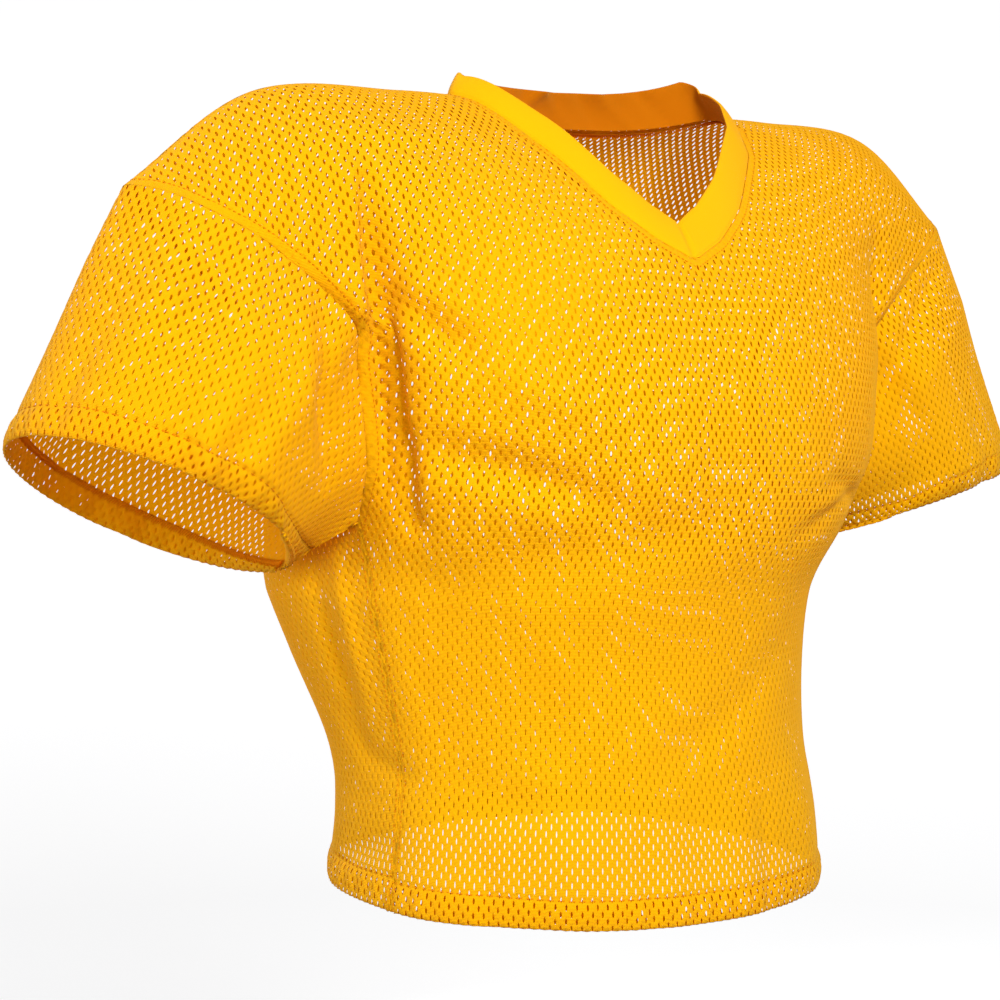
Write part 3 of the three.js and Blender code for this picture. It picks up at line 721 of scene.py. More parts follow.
@dataclass(frozen=True)
class Slack:
    """Where a cut piece hangs slack, and how far its holes close there.

    The slack begins and is full at two depths below the origin, in millimetres. The turned-up band
    has only a part of it, up to the two distances from the fold.
    """

    start: float
    full: float
    share: float
    band: tuple[float, float] = (17.0, 23.0)
    band_share: float = 0.2

    def shares(self, worn: np.ndarray, flat: np.ndarray) -> np.ndarray:
        """How much narrower the holes are at each point, as a share of their width.

        Args:
            worn: the worn points.
            flat: the same points on the flat pattern.

        Returns:
            The shares.
        """
        held = self.band_share + (1 - self.band_share) * smoothstep(flat[:, 1], *self.band)
        return self.share * smoothstep(-worn[:, 2], self.start, self.full) * held


SLACK = {
    "front": Slack(272, 312, 0.5),
    "back": Slack(272, 312, 0.5),
    "sleeve_right": Slack(128, 172, 0.45),
    "sleeve_left": Slack(128, 172, 0.45),
}


@dataclass
class Panel:
    """One cut piece of cloth: its flat pattern, with where each place is worn.

    Its grids have rows from the hem up. The other values are worked out from them.
    """

    name: str
    grids: list[Grid]
    flat: np.ndarray = field(init=False)
    worn: np.ndarray = field(init=False)
    out: np.ndarray = field(init=False)
    faces: np.ndarray = field(init=False)
    tree: BVHTree = field(init=False)

    def __post_init__(self) -> None:
        """Joins the grids into one pattern."""
        self.flat = np.concatenate([grid.flat.reshape(-1, 2) for grid in self.grids])
        self.worn = np.concatenate([grid.worn.reshape(-1, 3) for grid in self.grids])
        self.out = np.concatenate([grid.out.reshape(-1, 3) for grid in self.grids])
        faces, start = [], 0
        for grid in self.grids:
            rows, columns = grid.flat.shape[:2]
            faces.append(start + grid_faces(rows, columns, grid.turned))
            start += rows * columns
        self.faces = np.concatenate(faces)
        self.tree = BVHTree.FromPolygons(
            [(u, v, 0.0) for u, v in self.flat.tolist()], self.faces.tolist())

    def area(self) -> float:
        """Adds up the pattern's faces.

        Returns:
            The flat area in square metres.
        """
        a, b, c, d = (self.flat[self.faces[:, k]] for k in range(4))
        p, q = c - a, d - b
        return float(np.abs(p[:, 0] * q[:, 1] - p[:, 1] * q[:, 0]).sum() / 2) * MM * MM

    def size(self) -> tuple[float, float]:
        """The pattern's width and length in metres."""
        width, length = (self.flat.max(axis=0) - self.flat.min(axis=0)) * MM
        return float(width), float(length)

    def wear(self, places: np.ndarray, lift: float) -> tuple[np.ndarray, np.ndarray]:
        """Carries flat places onto the worn form.

        Args:
            places: the flat places.
            lift: how far above the cloth the points lie.

        Returns:
            The worn points and their outward directions.
        """
        points, facing = [], []
        for u, v in np.asarray(places, float):
            spot, _, index, _ = self.tree.find_nearest(Vector((u, v, 0)))
            corners = self.faces[index]
            weights = poly_3d_calc([Vector((*self.flat[k], 0)) for k in corners], spot)
            points.append(sum(w * self.worn[k] for w, k in zip(weights, corners)))
            facing.append(sum(w * self.out[k] for w, k in zip(weights, corners)))
        out = unit(np.array(facing))
        return np.array(points) + out * lift, out

    def pattern_object(self, slack: Slack) -> bpy.types.Object:
        """The flat pattern as a mesh that carries what the weave reads from it, in metres.

        Args:
            slack: where the cloth hangs slack.

        Returns:
            The mesh, with the worn points, their outward directions and how the holes are drawn in.
        """
        ease = np.zeros_like(self.worn)
        ease[:, 0] = -slack.shares(self.worn, self.flat)
        mesh = bpy.data.meshes.new(self.name + "_pattern")
        flat = np.concatenate([self.flat, np.zeros((len(self.flat), 1))], 1) * MM
        mesh.from_pydata(flat.tolist(), [], self.faces.tolist())
        for name, values in (("worn", self.worn * MM), ("out", self.out), ("ease", ease)):
            layer = mesh.attributes.new(name, "FLOAT_VECTOR", "POINT")
            layer.data.foreach_set("vector", values.astype(np.float32).ravel())
        return link(bpy.data.objects.new(mesh.name, mesh))


def link(obj: bpy.types.Object) -> bpy.types.Object:
    """Puts an object into the scene."""
    bpy.context.scene.collection.objects.link(obj)
    return obj


def mesh_object(name: str, points: np.ndarray, faces: Iterable) -> bpy.types.Object:
    """A smooth mesh object from points in millimetres.

    Args:
        name: the object's name.
        points: the points.
        faces: the indices of each face.

    Returns:
        The new object, in the scene.
    """
    mesh = bpy.data.meshes.new(name)
    mesh.from_pydata((np.asarray(points, float) * MM).tolist(), [], [list(map(int, f)) for f in faces])
    mesh.polygons.foreach_set("use_smooth", [True] * len(mesh.polygons))
    mesh.update()
    return link(bpy.data.objects.new(name, mesh))


def grid_faces(rows: int, columns: int, turned: bool) -> np.ndarray:
    """The quads of a grid of points.

    Args:
        rows: how many rows it has.
        columns: how many points a row has.
        turned: whether the quads go the other way round.

    Returns:
        Four indices for each quad.
    """
    corner = (np.arange(rows - 1)[:, None] * columns + np.arange(columns - 1)).ravel()
    quads = np.stack([corner, corner + 1, corner + columns + 1, corner + columns], -1)
    return quads[:, ::-1] if turned else quads


@dataclass(frozen=True)
class Socket:
    """A node's output, with arithmetic that adds Math nodes to its tree."""

    tree: "NodeTree"
    socket: bpy.types.NodeSocket

    def _math(self, operation: str, *values: "Socket | float") -> "Socket":
        """One Math node on the given values."""
        return self.tree.node(self.tree.math_type, {"operation": operation}, dict(enumerate(values)))

    def __add__(self, other: "Socket | float") -> "Socket":
        """The sum."""
        return self._math("ADD", self, other)

    __radd__ = __add__

    def __sub__(self, other: "Socket | float") -> "Socket":
        """The difference."""
        return self._math("SUBTRACT", self, other)

    def __rsub__(self, other: "Socket | float") -> "Socket":
        """The difference, the other way round."""
        return self._math("SUBTRACT", other, self)

    def __mul__(self, other: "Socket | float") -> "Socket":
        """The product."""
        return self._math("MULTIPLY", self, other)

    __rmul__ = __mul__

    def __truediv__(self, other: "Socket | float") -> "Socket":
        """The quotient."""
        return self._math("DIVIDE", self, other)

    def __rtruediv__(self, other: "Socket | float") -> "Socket":
        """The quotient, the other way round."""
        return self._math("DIVIDE", other, self)

    def __gt__(self, other: "Socket | float") -> "Socket":
        """1 where it is greater."""
        return self._math("GREATER_THAN", self, other)

    def below(self, other: "Socket | float") -> "Socket":
        """True where it is less, for geometry nodes."""
        return self.tree.node("FunctionNodeCompare", {"operation": "LESS_THAN"}, {0: self, 1: other})

    def sin(self) -> "Socket":
        """The sine."""
        return self._math("SINE", self)

    def fraction(self) -> "Socket":
        """The part after the point."""
        return self._math("FRACT", self)

    def rounded(self) -> "Socket":
        """The nearest whole number."""
        return self._math("ROUND", self)

    def parts(self) -> tuple["Socket", "Socket", "Socket"]:
        """A vector's three numbers."""
        split = self.tree.raw("ShaderNodeSeparateXYZ", {}, {0: self})
        return tuple(Socket(self.tree, out) for out in split.outputs)


class NodeTree:
    """A node tree with one way to add a node."""

    math_type = "ShaderNodeMath"

    def __init__(self, tree: bpy.types.NodeTree) -> None:
        """Wraps a Blender node tree."""
        self.tree = tree

    def raw(self, kind: str, settings: dict, inputs: dict) -> bpy.types.Node:
        """Adds a node.

        Args:
            kind: the node's type.
            settings: its properties.
            inputs: numbers, colours or sockets, by the input's name or number.

        Returns:
            The node.
        """
        node = self.tree.nodes.new(kind)
        for name, value in settings.items():
            setattr(node, name, value)
        for name, value in inputs.items():
            if isinstance(value, Socket):
                self.tree.links.new(value.socket, node.inputs[name])
            else:
                node.inputs[name].default_value = value
        return node

    def node(self, kind: str, settings: dict, inputs: dict, output: int | str = 0) -> Socket:
        """Adds a node and returns one of its outputs."""
        return Socket(self, self.raw(kind, settings, inputs).outputs[output])


class GeometryTree(NodeTree):
    """A geometry node tree with named inputs, which ends in Realize Instances and Set Material."""

    def __init__(self, name: str, inputs: dict[str, str]) -> None:
        """Makes the tree.

        Args:
            name: the tree's name.
            inputs: the socket type of each named input, after the geometry.
        """
        super().__init__(bpy.data.node_groups.new(name, "GeometryNodeTree"))
        face = self.tree.interface
        face.new_socket("Geometry", in_out="INPUT", socket_type="NodeSocketGeometry")
        for label, kind in inputs.items():
            face.new_socket(label, in_out="INPUT", socket_type=kind)
        face.new_socket("Geometry", in_out="OUTPUT", socket_type="NodeSocketGeometry")
        self.inputs = self.tree.nodes.new("NodeGroupInput")

    def given(self, name: str) -> Socket:
        """One of the tree's inputs."""
        return Socket(self, self.inputs.outputs[name])

    def vector(self, x: Socket | float, y: Socket | float, z: Socket | float) -> Socket:
        """A vector of three numbers."""
        return self.node("ShaderNodeCombineXYZ", {}, {0: x, 1: y, 2: z})

    def position(self) -> Socket:
        """The position of the geometry at hand."""
        return self.node("GeometryNodeInputPosition", {}, {})

    def attribute(self, name: str) -> Socket:
        """A named vector attribute."""
        return self.node("GeometryNodeInputNamedAttribute", {"data_type": "FLOAT_VECTOR"}, {0: name})

    def carried(self, surface: Socket, name: str) -> Socket:
        """A named vector attribute of a surface, read where it is nearest to the geometry at hand."""
        return self.node("GeometryNodeSampleNearestSurface", {"data_type": "FLOAT_VECTOR"}, {
            "Mesh": surface, "Sample Position": self.position(), "Value": self.attribute(name)})

    def finish(self, geometry: Socket) -> None:
        """Ends the tree in real geometry with the given material.

        Args:
            geometry: what the tree has made.
        """
        real = self.node("GeometryNodeRealizeInstances", {}, {0: geometry})
        done = self.node("GeometryNodeSetMaterial", {}, {
            "Geometry": real, "Material": self.given("Material")})
        end = self.tree.nodes.new("NodeGroupOutput")
        self.tree.links.new(done.socket, end.inputs[0])

    def apply(self, carrier: bpy.types.Object, name: str, values: dict) -> bpy.types.Object:
        """Runs the tree on an object and keeps the result as a plain mesh.

        Args:
            carrier: the object that carries the input geometry. It is removed.
            name: the new object's name.
            values: the tree's inputs, by name.

        Returns:
            The new object.
        """
        modifier = carrier.modifiers.new(name, "NODES")
        modifier.node_group = self.tree
        for item in self.tree.interface.items_tree:
            if item.item_type == "SOCKET" and item.in_out == "INPUT" and item.name in values:
                modifier[item.identifier] = values[item.name]
        graph = bpy.context.evaluated_depsgraph_get()
        graph.update()
        mesh = bpy.data.meshes.new_from_object(carrier.evaluated_get(graph), depsgraph=graph)
        mesh.name = name
        result = link(bpy.data.objects.new(name, mesh))
        bpy.data.objects.remove(carrier)
        return result


def perforated_cloth_tree() -> GeometryTree:
    """The tree that weaves mesh cloth over a flat pattern and carries it onto the worn form.

    It sets cells on a net of points, every other row half a pitch on, draws their holes in where the
    cloth hangs slack, and moves each point to where the pattern is worn, with its height as a lift.

    Returns:
        The tree.
    """
    tree = GeometryTree("perforated cloth", {
        "Cell": "NodeSocketObject", "Pitch": "NodeSocketFloat", "Row Step": "NodeSocketFloat",
        "Left": "NodeSocketFloat", "Bottom": "NodeSocketFloat", "Columns": "NodeSocketInt",
        "Rows": "NodeSocketInt", "Margin": "NodeSocketFloat", "Material": "NodeSocketMaterial"})
    pattern, pitch, step = tree.given("Geometry"), tree.given("Pitch"), tree.given("Row Step")
    columns, rows = tree.given("Columns"), tree.given("Rows")
    wide, high = (columns - 1) * pitch, (rows - 1) * step
    net = tree.node("GeometryNodeMeshGrid", {}, {
        "Size X": wide, "Size Y": high, "Vertices X": columns, "Vertices Y": rows})
    _, y, _ = tree.position().parts()
    odd = (((y + high * 0.5) / step).rounded() * 0.5).fraction() > 0.25
    shift = tree.vector(tree.given("Left") + wide * 0.5 + odd * pitch * 0.5,
                        tree.given("Bottom") + high * 0.5, 0.0)
    placed = tree.node("GeometryNodeSetPosition", {}, {"Geometry": net, "Offset": shift})
    away = tree.node("GeometryNodeProximity", {"target_element": "FACES"}, {0: pattern}, "Distance")
    inside = away.below(tree.given("Margin"))
    cell = tree.node("GeometryNodeObjectInfo", {"transform_space": "ORIGINAL"},
                     {"Object": tree.given("Cell"), "As Instance": True}, "Geometry")
    many = tree.node("GeometryNodeInstanceOnPoints", {}, {
        "Points": placed, "Selection": inside, "Instance": cell})
    real = tree.node("GeometryNodeRealizeInstances", {}, {0: many})
    joined = tree.node("GeometryNodeMergeByDistance", {}, {"Geometry": real, "Distance": WELD_DISTANCE})
    drawn = tree.node("ShaderNodeVectorMath", {"operation": "MULTIPLY"}, {
        0: tree.carried(pattern, "ease"), 1: tree.attribute("rim")})
    eased = tree.node("GeometryNodeSetPosition", {}, {"Geometry": joined, "Offset": drawn})
    here = tree.position()
    mapped = tree.node("GeometryNodeStoreNamedAttribute", {"data_type": "FLOAT2", "domain": "CORNER"},
                       {"Geometry": eased, "Name": "UVMap", "Value": here})
    _, _, height = here.parts()
    raised = tree.node("ShaderNodeVectorMath", {"operation": "SCALE"}, {
        0: tree.carried(pattern, "out"), "Scale": height})
    target = tree.node("ShaderNodeVectorMath", {"operation": "ADD"}, {
        0: tree.carried(pattern, "worn"), 1: raised})
    dressed = tree.node("GeometryNodeSetPosition", {}, {"Geometry": mapped, "Position": target})
    area = tree.node("GeometryNodeInputMeshFaceArea", {}, {})
    tiny = area.below(SMALLEST_FACE)
    clean = tree.node("GeometryNodeDeleteGeometry", {"domain": "FACE"}, {0: dressed, "Selection": tiny})
    smooth = tree.node("GeometryNodeSetShadeSmooth", {}, {"Geometry": clean})
    tree.finish(smooth)
    return tree


def stitch_tree() -> GeometryTree:
    """The tree that sets stitches along polylines that carry an "out" attribute.

    Returns:
        The tree.
    """
    tree = GeometryTree("stitches along a path", {
        "Stitch": "NodeSocketObject", "Spacing": "NodeSocketFloat", "Seed": "NodeSocketInt",
        "Shortest": "NodeSocketFloat", "Longest": "NodeSocketFloat", "Material": "NodeSocketMaterial"})
    curve = tree.node("GeometryNodeMeshToCurve", {}, {0: tree.given("Geometry")})
    even = tree.node("GeometryNodeResampleCurve", {"mode": "LENGTH"},
                     {"Curve": curve, "Length": tree.given("Spacing")})
    stitch = tree.node("GeometryNodeObjectInfo", {"transform_space": "ORIGINAL"},
                       {"Object": tree.given("Stitch"), "As Instance": True}, "Geometry")
    along = tree.node("GeometryNodeInputTangent", {}, {})
    turn = tree.node("FunctionNodeAxesToRotation", {"primary_axis": "Z", "secondary_axis": "X"},
                     {"Primary Axis": tree.attribute("out"), "Secondary Axis": along})
    size = tree.node("FunctionNodeRandomValue", {"data_type": "FLOAT"},
                     {2: tree.given("Shortest"), 3: tree.given("Longest"), "Seed": tree.given("Seed")}, 1)
    many = tree.node("GeometryNodeInstanceOnPoints", {}, {
        "Points": even, "Instance": stitch, "Rotation": turn, "Scale": tree.vector(size, 1.0, 1.0)})
    tree.finish(many)
    return tree


@dataclass(frozen=True)
class Cell:
    """One cell of the mesh cloth, in millimetres: a web around one upright pointed hole.

    The cell is six-sided, with upright sides of twice `side`. The hole narrows at its shoulders,
    which lie at shares of its half width and half height. Cells are set where their centres lie
    within a share of the pitch, the margin, from the pattern.
    """

    pitch: float = 6.35
    row_step: float = 4.6
    side: float = 1.7
    half_width: float = 0.76
    half_height: float = 2.2
    shoulder: tuple[float, float] = (0.78, 0.55)
    crown: float = 0.25
    sunk: float = -0.32
    margin: float = 0.6

    def build(self) -> bpy.types.Object:
        """Makes the cell's mesh, with the web raised and the rim of the hole sunk.

        Returns:
            The cell. Its attribute "rim" holds the way from the middle of the hole to its rim.
        """
        p, a, b = self.pitch / 2, self.side, self.row_step - self.side
        w, h = self.half_width, self.half_height
        x, y = w * self.shoulder[0], h * self.shoulder[1]
        outer = [(p, -a), (p, a), (0, b), (-p, a), (-p, -a), (0, -b)]
        hole = [(w, 0), (x, y), (0, h), (-x, y), (-w, 0), (-x, -y), (0, -h), (x, -y)]
        points = [(*q, self.crown) for q in outer] + [(*q, self.sunk) for q in hole]
        faces = [(0, 1, 6), (1, 7, 6), (1, 2, 7), (2, 8, 7), (2, 9, 8), (2, 3, 9), (3, 10, 9),
                 (3, 4, 10), (4, 11, 10), (4, 5, 11), (5, 12, 11), (5, 13, 12), (5, 0, 13), (0, 6, 13)]
        cell = mesh_object("cell", points, faces)
        rim = np.zeros((len(points), 3), np.float32)
        rim[len(outer):, 0] = [place[0] * MM for place in hole]
        cell.data.attributes.new("rim", "FLOAT_VECTOR", "POINT").data.foreach_set("vector", rim.ravel())
        return cell


def set_uv(obj: bpy.types.Object, places: np.ndarray) -> None:
    """Gives a mesh a UV map in metres.

    Args:
        obj: the mesh's object.
        places: a flat place in millimetres for each of its points.
    """
    layer = obj.data.uv_layers.new(name="UVMap")
    index = np.empty(len(obj.data.loops), np.int32)
    obj.data.loops.foreach_get("vertex_index", index)
    layer.data.foreach_set("uv", (places[index] * MM).astype(np.float32).ravel())


def dress(obj: bpy.types.Object, material: bpy.types.Material) -> bpy.types.Object:
    """Gives a piece its material and its slot, and lets it ride on the body.

    Args:
        obj: the piece.
        material: its material.

    Returns:
        The piece.
    """
    if not obj.data.materials:
        obj.data.materials.append(material)
    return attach(obj, BODY)


@dataclass
class MeshCloth:
    """The perforated cloth of one cut piece."""

    panel: Panel
    cell: Cell
    node: str

    def build(self, tree: GeometryTree, shape: bpy.types.Object,
              material: bpy.types.Material) -> bpy.types.Object:
        """Args:
            tree: the perforated cloth tree.
            shape: the cell's mesh.
            material: the cloth's material.

        Returns:
            The finished piece.
        """
        low, high = self.panel.flat.min(axis=0), self.panel.flat.max(axis=0)
        pitch, step = self.cell.pitch, self.cell.row_step
        left = -math.ceil(-low[0] / pitch + 1) * pitch
        bottom = -(math.ceil(-low[1] / step + 1) + 0.5) * step
        piece = tree.apply(self.panel.pattern_object(SLACK[self.node]), self.node + "_mesh", {
            "Cell": shape, "Pitch": pitch * MM, "Row Step": step * MM, "Left": left * MM,
            "Bottom": bottom * MM, "Columns": math.ceil((high[0] - left) / pitch) + 2,
            "Rows": math.ceil((high[1] - bottom) / step) + 2, "Margin": self.cell.margin * pitch * MM,
            "Material": material})
        for name in ("worn", "out", "ease", "rim"):
            if name in piece.data.attributes:
                piece.data.attributes.remove(piece.data.attributes[name])
        dress(piece, material)
        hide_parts(self.node)
        self.panel.size()
        self.panel.area()
        return piece


def offset_path(path: np.ndarray, distance: float, toward: np.ndarray) -> np.ndarray:
    """Moves a flat path sideways.

    Args:
        path: the path.
        distance: how far it moves.
        toward: a place on the side that it moves to.

    Returns:
        The moved path.
    """
    along = unit(np.gradient(path, axis=0))
    side = np.stack([-along[:, 1], along[:, 0]], -1)
    middle = len(path) // 2
    sign = 1 if (toward - path[middle]) @ side[middle] > 0 else -1
    return path + sign * distance * side


def evenly(path: np.ndarray, step: float) -> np.ndarray:
    """A path read at even steps of its length."""
    lengths = running_lengths(path)
    at = np.linspace(0, lengths[-1], max(2, round(lengths[-1] / step) + 1))
    return interpolate(at, lengths, path)


@dataclass
class Pattern:
    """The four cut pieces of mesh cloth, and the lines on them that are sewn."""

    form: WornForm
    turn_up: TurnUp = TurnUp()
    panels: dict[str, Panel] = field(default_factory=dict)

    def build(self) -> None:
        """Folds the turn-ups and lays out the pieces."""
        for cut in Cut:
            halves = self.form.panels[cut]
            grids = [self.turn_up.fold(halves[side]) for side in Side]
            self.panels[cut.value] = Panel(cut.value, grids)
        for side, grid in self.form.sleeves.items():
            name = "sleeve_" + side.name.lower()
            self.panels[name] = Panel(name, [self.turn_up.fold(grid)])

    def row_line(self, name: str, v: float) -> np.ndarray:
        """The flat line along a piece at one height above its fold.

        Args:
            name: the cut piece.
            v: the height, or a depth below 0 for the inner layer.

        Returns:
            The line from end to end.
        """
        lines = []
        for grid in self.panels[name].grids:
            row = int(np.argmin(np.abs(grid.flat[:, 0, 1] - v)))
            line = grid.flat[row]
            lines.append(line[line[:, 0].argsort()])
        lines.sort(key=lambda line: line[0, 0])
        return np.concatenate(lines)

    def armhole_line(self, cut: Cut, side: Side) -> np.ndarray:
        """The flat armhole edge of a body panel, from the underarm up."""
        grid = self.form.panels[cut][side]
        return grid.flat[round(UNDERARM_ROW / ROW_STEP):, -1]

    def neck_line(self, cut: Cut, side: Side) -> np.ndarray:
        """The flat neck edge of a body panel, from the middle to the shoulder."""
        return self.form.panels[cut][side].flat[self.neck_rows(cut), 0]

    @staticmethod
    def neck_rows(cut: Cut) -> slice:
        """The rows of a body panel's grid that its neck edge cuts."""
        row = NECK_TIP_ROW if cut is Cut.FRONT else LAST_ROW - NECK_BACK_ROW
        return slice(round(row / ROW_STEP), None)

    def side_line(self, cut: Cut, side: Side) -> np.ndarray:
        """The flat side seam of a body panel, from the hem to the underarm."""
        return self.form.panels[cut][side].flat[:round(UNDERARM_ROW / ROW_STEP) + 1, -1]

    def shoulder_line(self, cut: Cut, side: Side) -> np.ndarray:
        """The flat shoulder seam of a body panel."""
        return self.form.panels[cut][side].flat[-1]

    def middle(self, name: str) -> np.ndarray:
        """The middle of a piece's flat pattern."""
        flat = self.panels[name].flat
        return (flat.min(axis=0) + flat.max(axis=0)) / 2


@dataclass
class Allowances:
    """The seam allowances: narrow strips of cloth that lie inside along the seams."""

    pattern: Pattern
    lift: float = -0.42
    columns: int = 4
    armhole: float = 7.0
    neck: float = 6.0
    side: float = 3.5
    shoulder: float = 5.0
    points: list[np.ndarray] = field(default_factory=list)
    places: list[np.ndarray] = field(default_factory=list)
    faces: list[np.ndarray] = field(default_factory=list)

    def add(self, name: str, path: np.ndarray, width: float) -> None:
        """Adds a strip.

        Args:
            name: the cut piece that it lies on.
            path: the seam on the flat piece.
            width: the strip's width.
        """
        line = evenly(path, PATH_STEP)
        toward = self.pattern.middle(name)
        rows = [offset_path(line, at, toward) for at in np.linspace(0, width, self.columns)]
        along, across = rows[0][1] - rows[0][0], rows[1][0] - rows[0][0]
        turned = along[0] * across[1] < along[1] * across[0]
        places = np.concatenate(rows)
        start = sum(len(part) for part in self.points)
        self.faces.append(start + grid_faces(self.columns, len(line), turned))
        self.points.append(self.pattern.panels[name].wear(places, self.lift)[0])
        self.places.append(places)

    def build(self, material: bpy.types.Material) -> bpy.types.Object:
        """Makes all the strips as one piece.

        Args:
            material: the cloth's material.

        Returns:
            The finished piece.
        """
        for cut in Cut:
            for side in Side:
                self.add(cut.value, self.pattern.armhole_line(cut, side), self.armhole)
                self.add(cut.value, self.pattern.neck_line(cut, side), self.neck)
                self.add(cut.value, self.pattern.side_line(cut, side), self.side)
                self.add(cut.value, self.pattern.shoulder_line(cut, side), self.shoulder)
        piece = mesh_object("seam_allowances", np.concatenate(self.points), np.concatenate(self.faces))
        set_uv(piece, np.concatenate(self.places))
        return dress(piece, material)


@dataclass(frozen=True)
class Stitch:
    """One stitch, in millimetres: a short thread lying on the cloth, thinner and lower at its ends."""

    length: float
    width: float
    height: float
    slant: float = 0.0
    sides: int = 5
    end_size: float = 0.4
    end_drop: float = 0.8
    turn: float = 0.25

    def build(self) -> bpy.types.Object:
        """Makes the stitch's mesh.

        Returns:
            The stitch, along x, with z away from the cloth.
        """
        sides = self.sides
        slant = math.radians(self.slant)
        points = []
        for at, size in ((-0.5, self.end_size), (0.0, 1.0), (0.5, self.end_size)):
            for k in range(sides):
                angle = 2 * math.pi * (k + self.turn) / sides
                x, y = at * self.length, math.cos(angle) * size * self.width / 2
                z = (math.sin(angle) * size + (size - 1) * self.end_drop) * self.height / 2
                points.append((x * math.cos(slant) - y * math.sin(slant),
                               x * math.sin(slant) + y * math.cos(slant), z))
        faces = [[i * sides + (k + 1) % sides, (i + 1) * sides + (k + 1) % sides,
                  (i + 1) * sides + k, i * sides + k] for i in range(2) for k in range(sides)]
        faces += [list(range(sides)), [2 * sides + k for k in range(sides)][::-1]]
        return mesh_object("stitch", points, faces)


@dataclass
class Sewing:
    """Lines of stitches of one kind, made as one piece."""

    name: str
    stitch: Stitch
    spacing: float
    lift: float
    seed: int
    shortest: float = 0.88
    longest: float = 1.12
    lines: list[tuple[np.ndarray, np.ndarray]] = field(default_factory=list)

    def add(self, panel: Panel, path: np.ndarray) -> None:
        """Adds a line that follows a flat path of a cut piece."""
        self.lines.append(panel.wear(evenly(path, PATH_STEP), self.lift))

    def build(self, tree: GeometryTree, material: bpy.types.Material) -> bpy.types.Object:
        """Sets the stitches along the lines.

        Args:
            tree: the stitch tree.
            material: the thread's material.

        Returns:
            The finished piece.
        """
        mesh = bpy.data.meshes.new(self.name + "_path")
        points = np.concatenate([line for line, _ in self.lines])
        facing = np.concatenate([out for _, out in self.lines])
        edges, start = [], 0
        for line, _ in self.lines:
            edges += [(start + k, start + k + 1) for k in range(len(line) - 1)]
            start += len(line)
        mesh.from_pydata((points * MM).tolist(), edges, [])
        layer = mesh.attributes.new("out", "FLOAT_VECTOR", "POINT")
        layer.data.foreach_set("vector", facing.astype(np.float32).ravel())
        path = link(bpy.data.objects.new(mesh.name, mesh))
        shape = self.stitch.build()
        piece = tree.apply(path, self.name, {
            "Stitch": shape, "Spacing": self.spacing * MM, "Seed": self.seed,
            "Shortest": self.shortest, "Longest": self.longest, "Material": material})
        bpy.data.objects.remove(shape)
        if "out" in piece.data.attributes:
            piece.data.attributes.remove(piece.data.attributes["out"])
        return dress(piece, material)


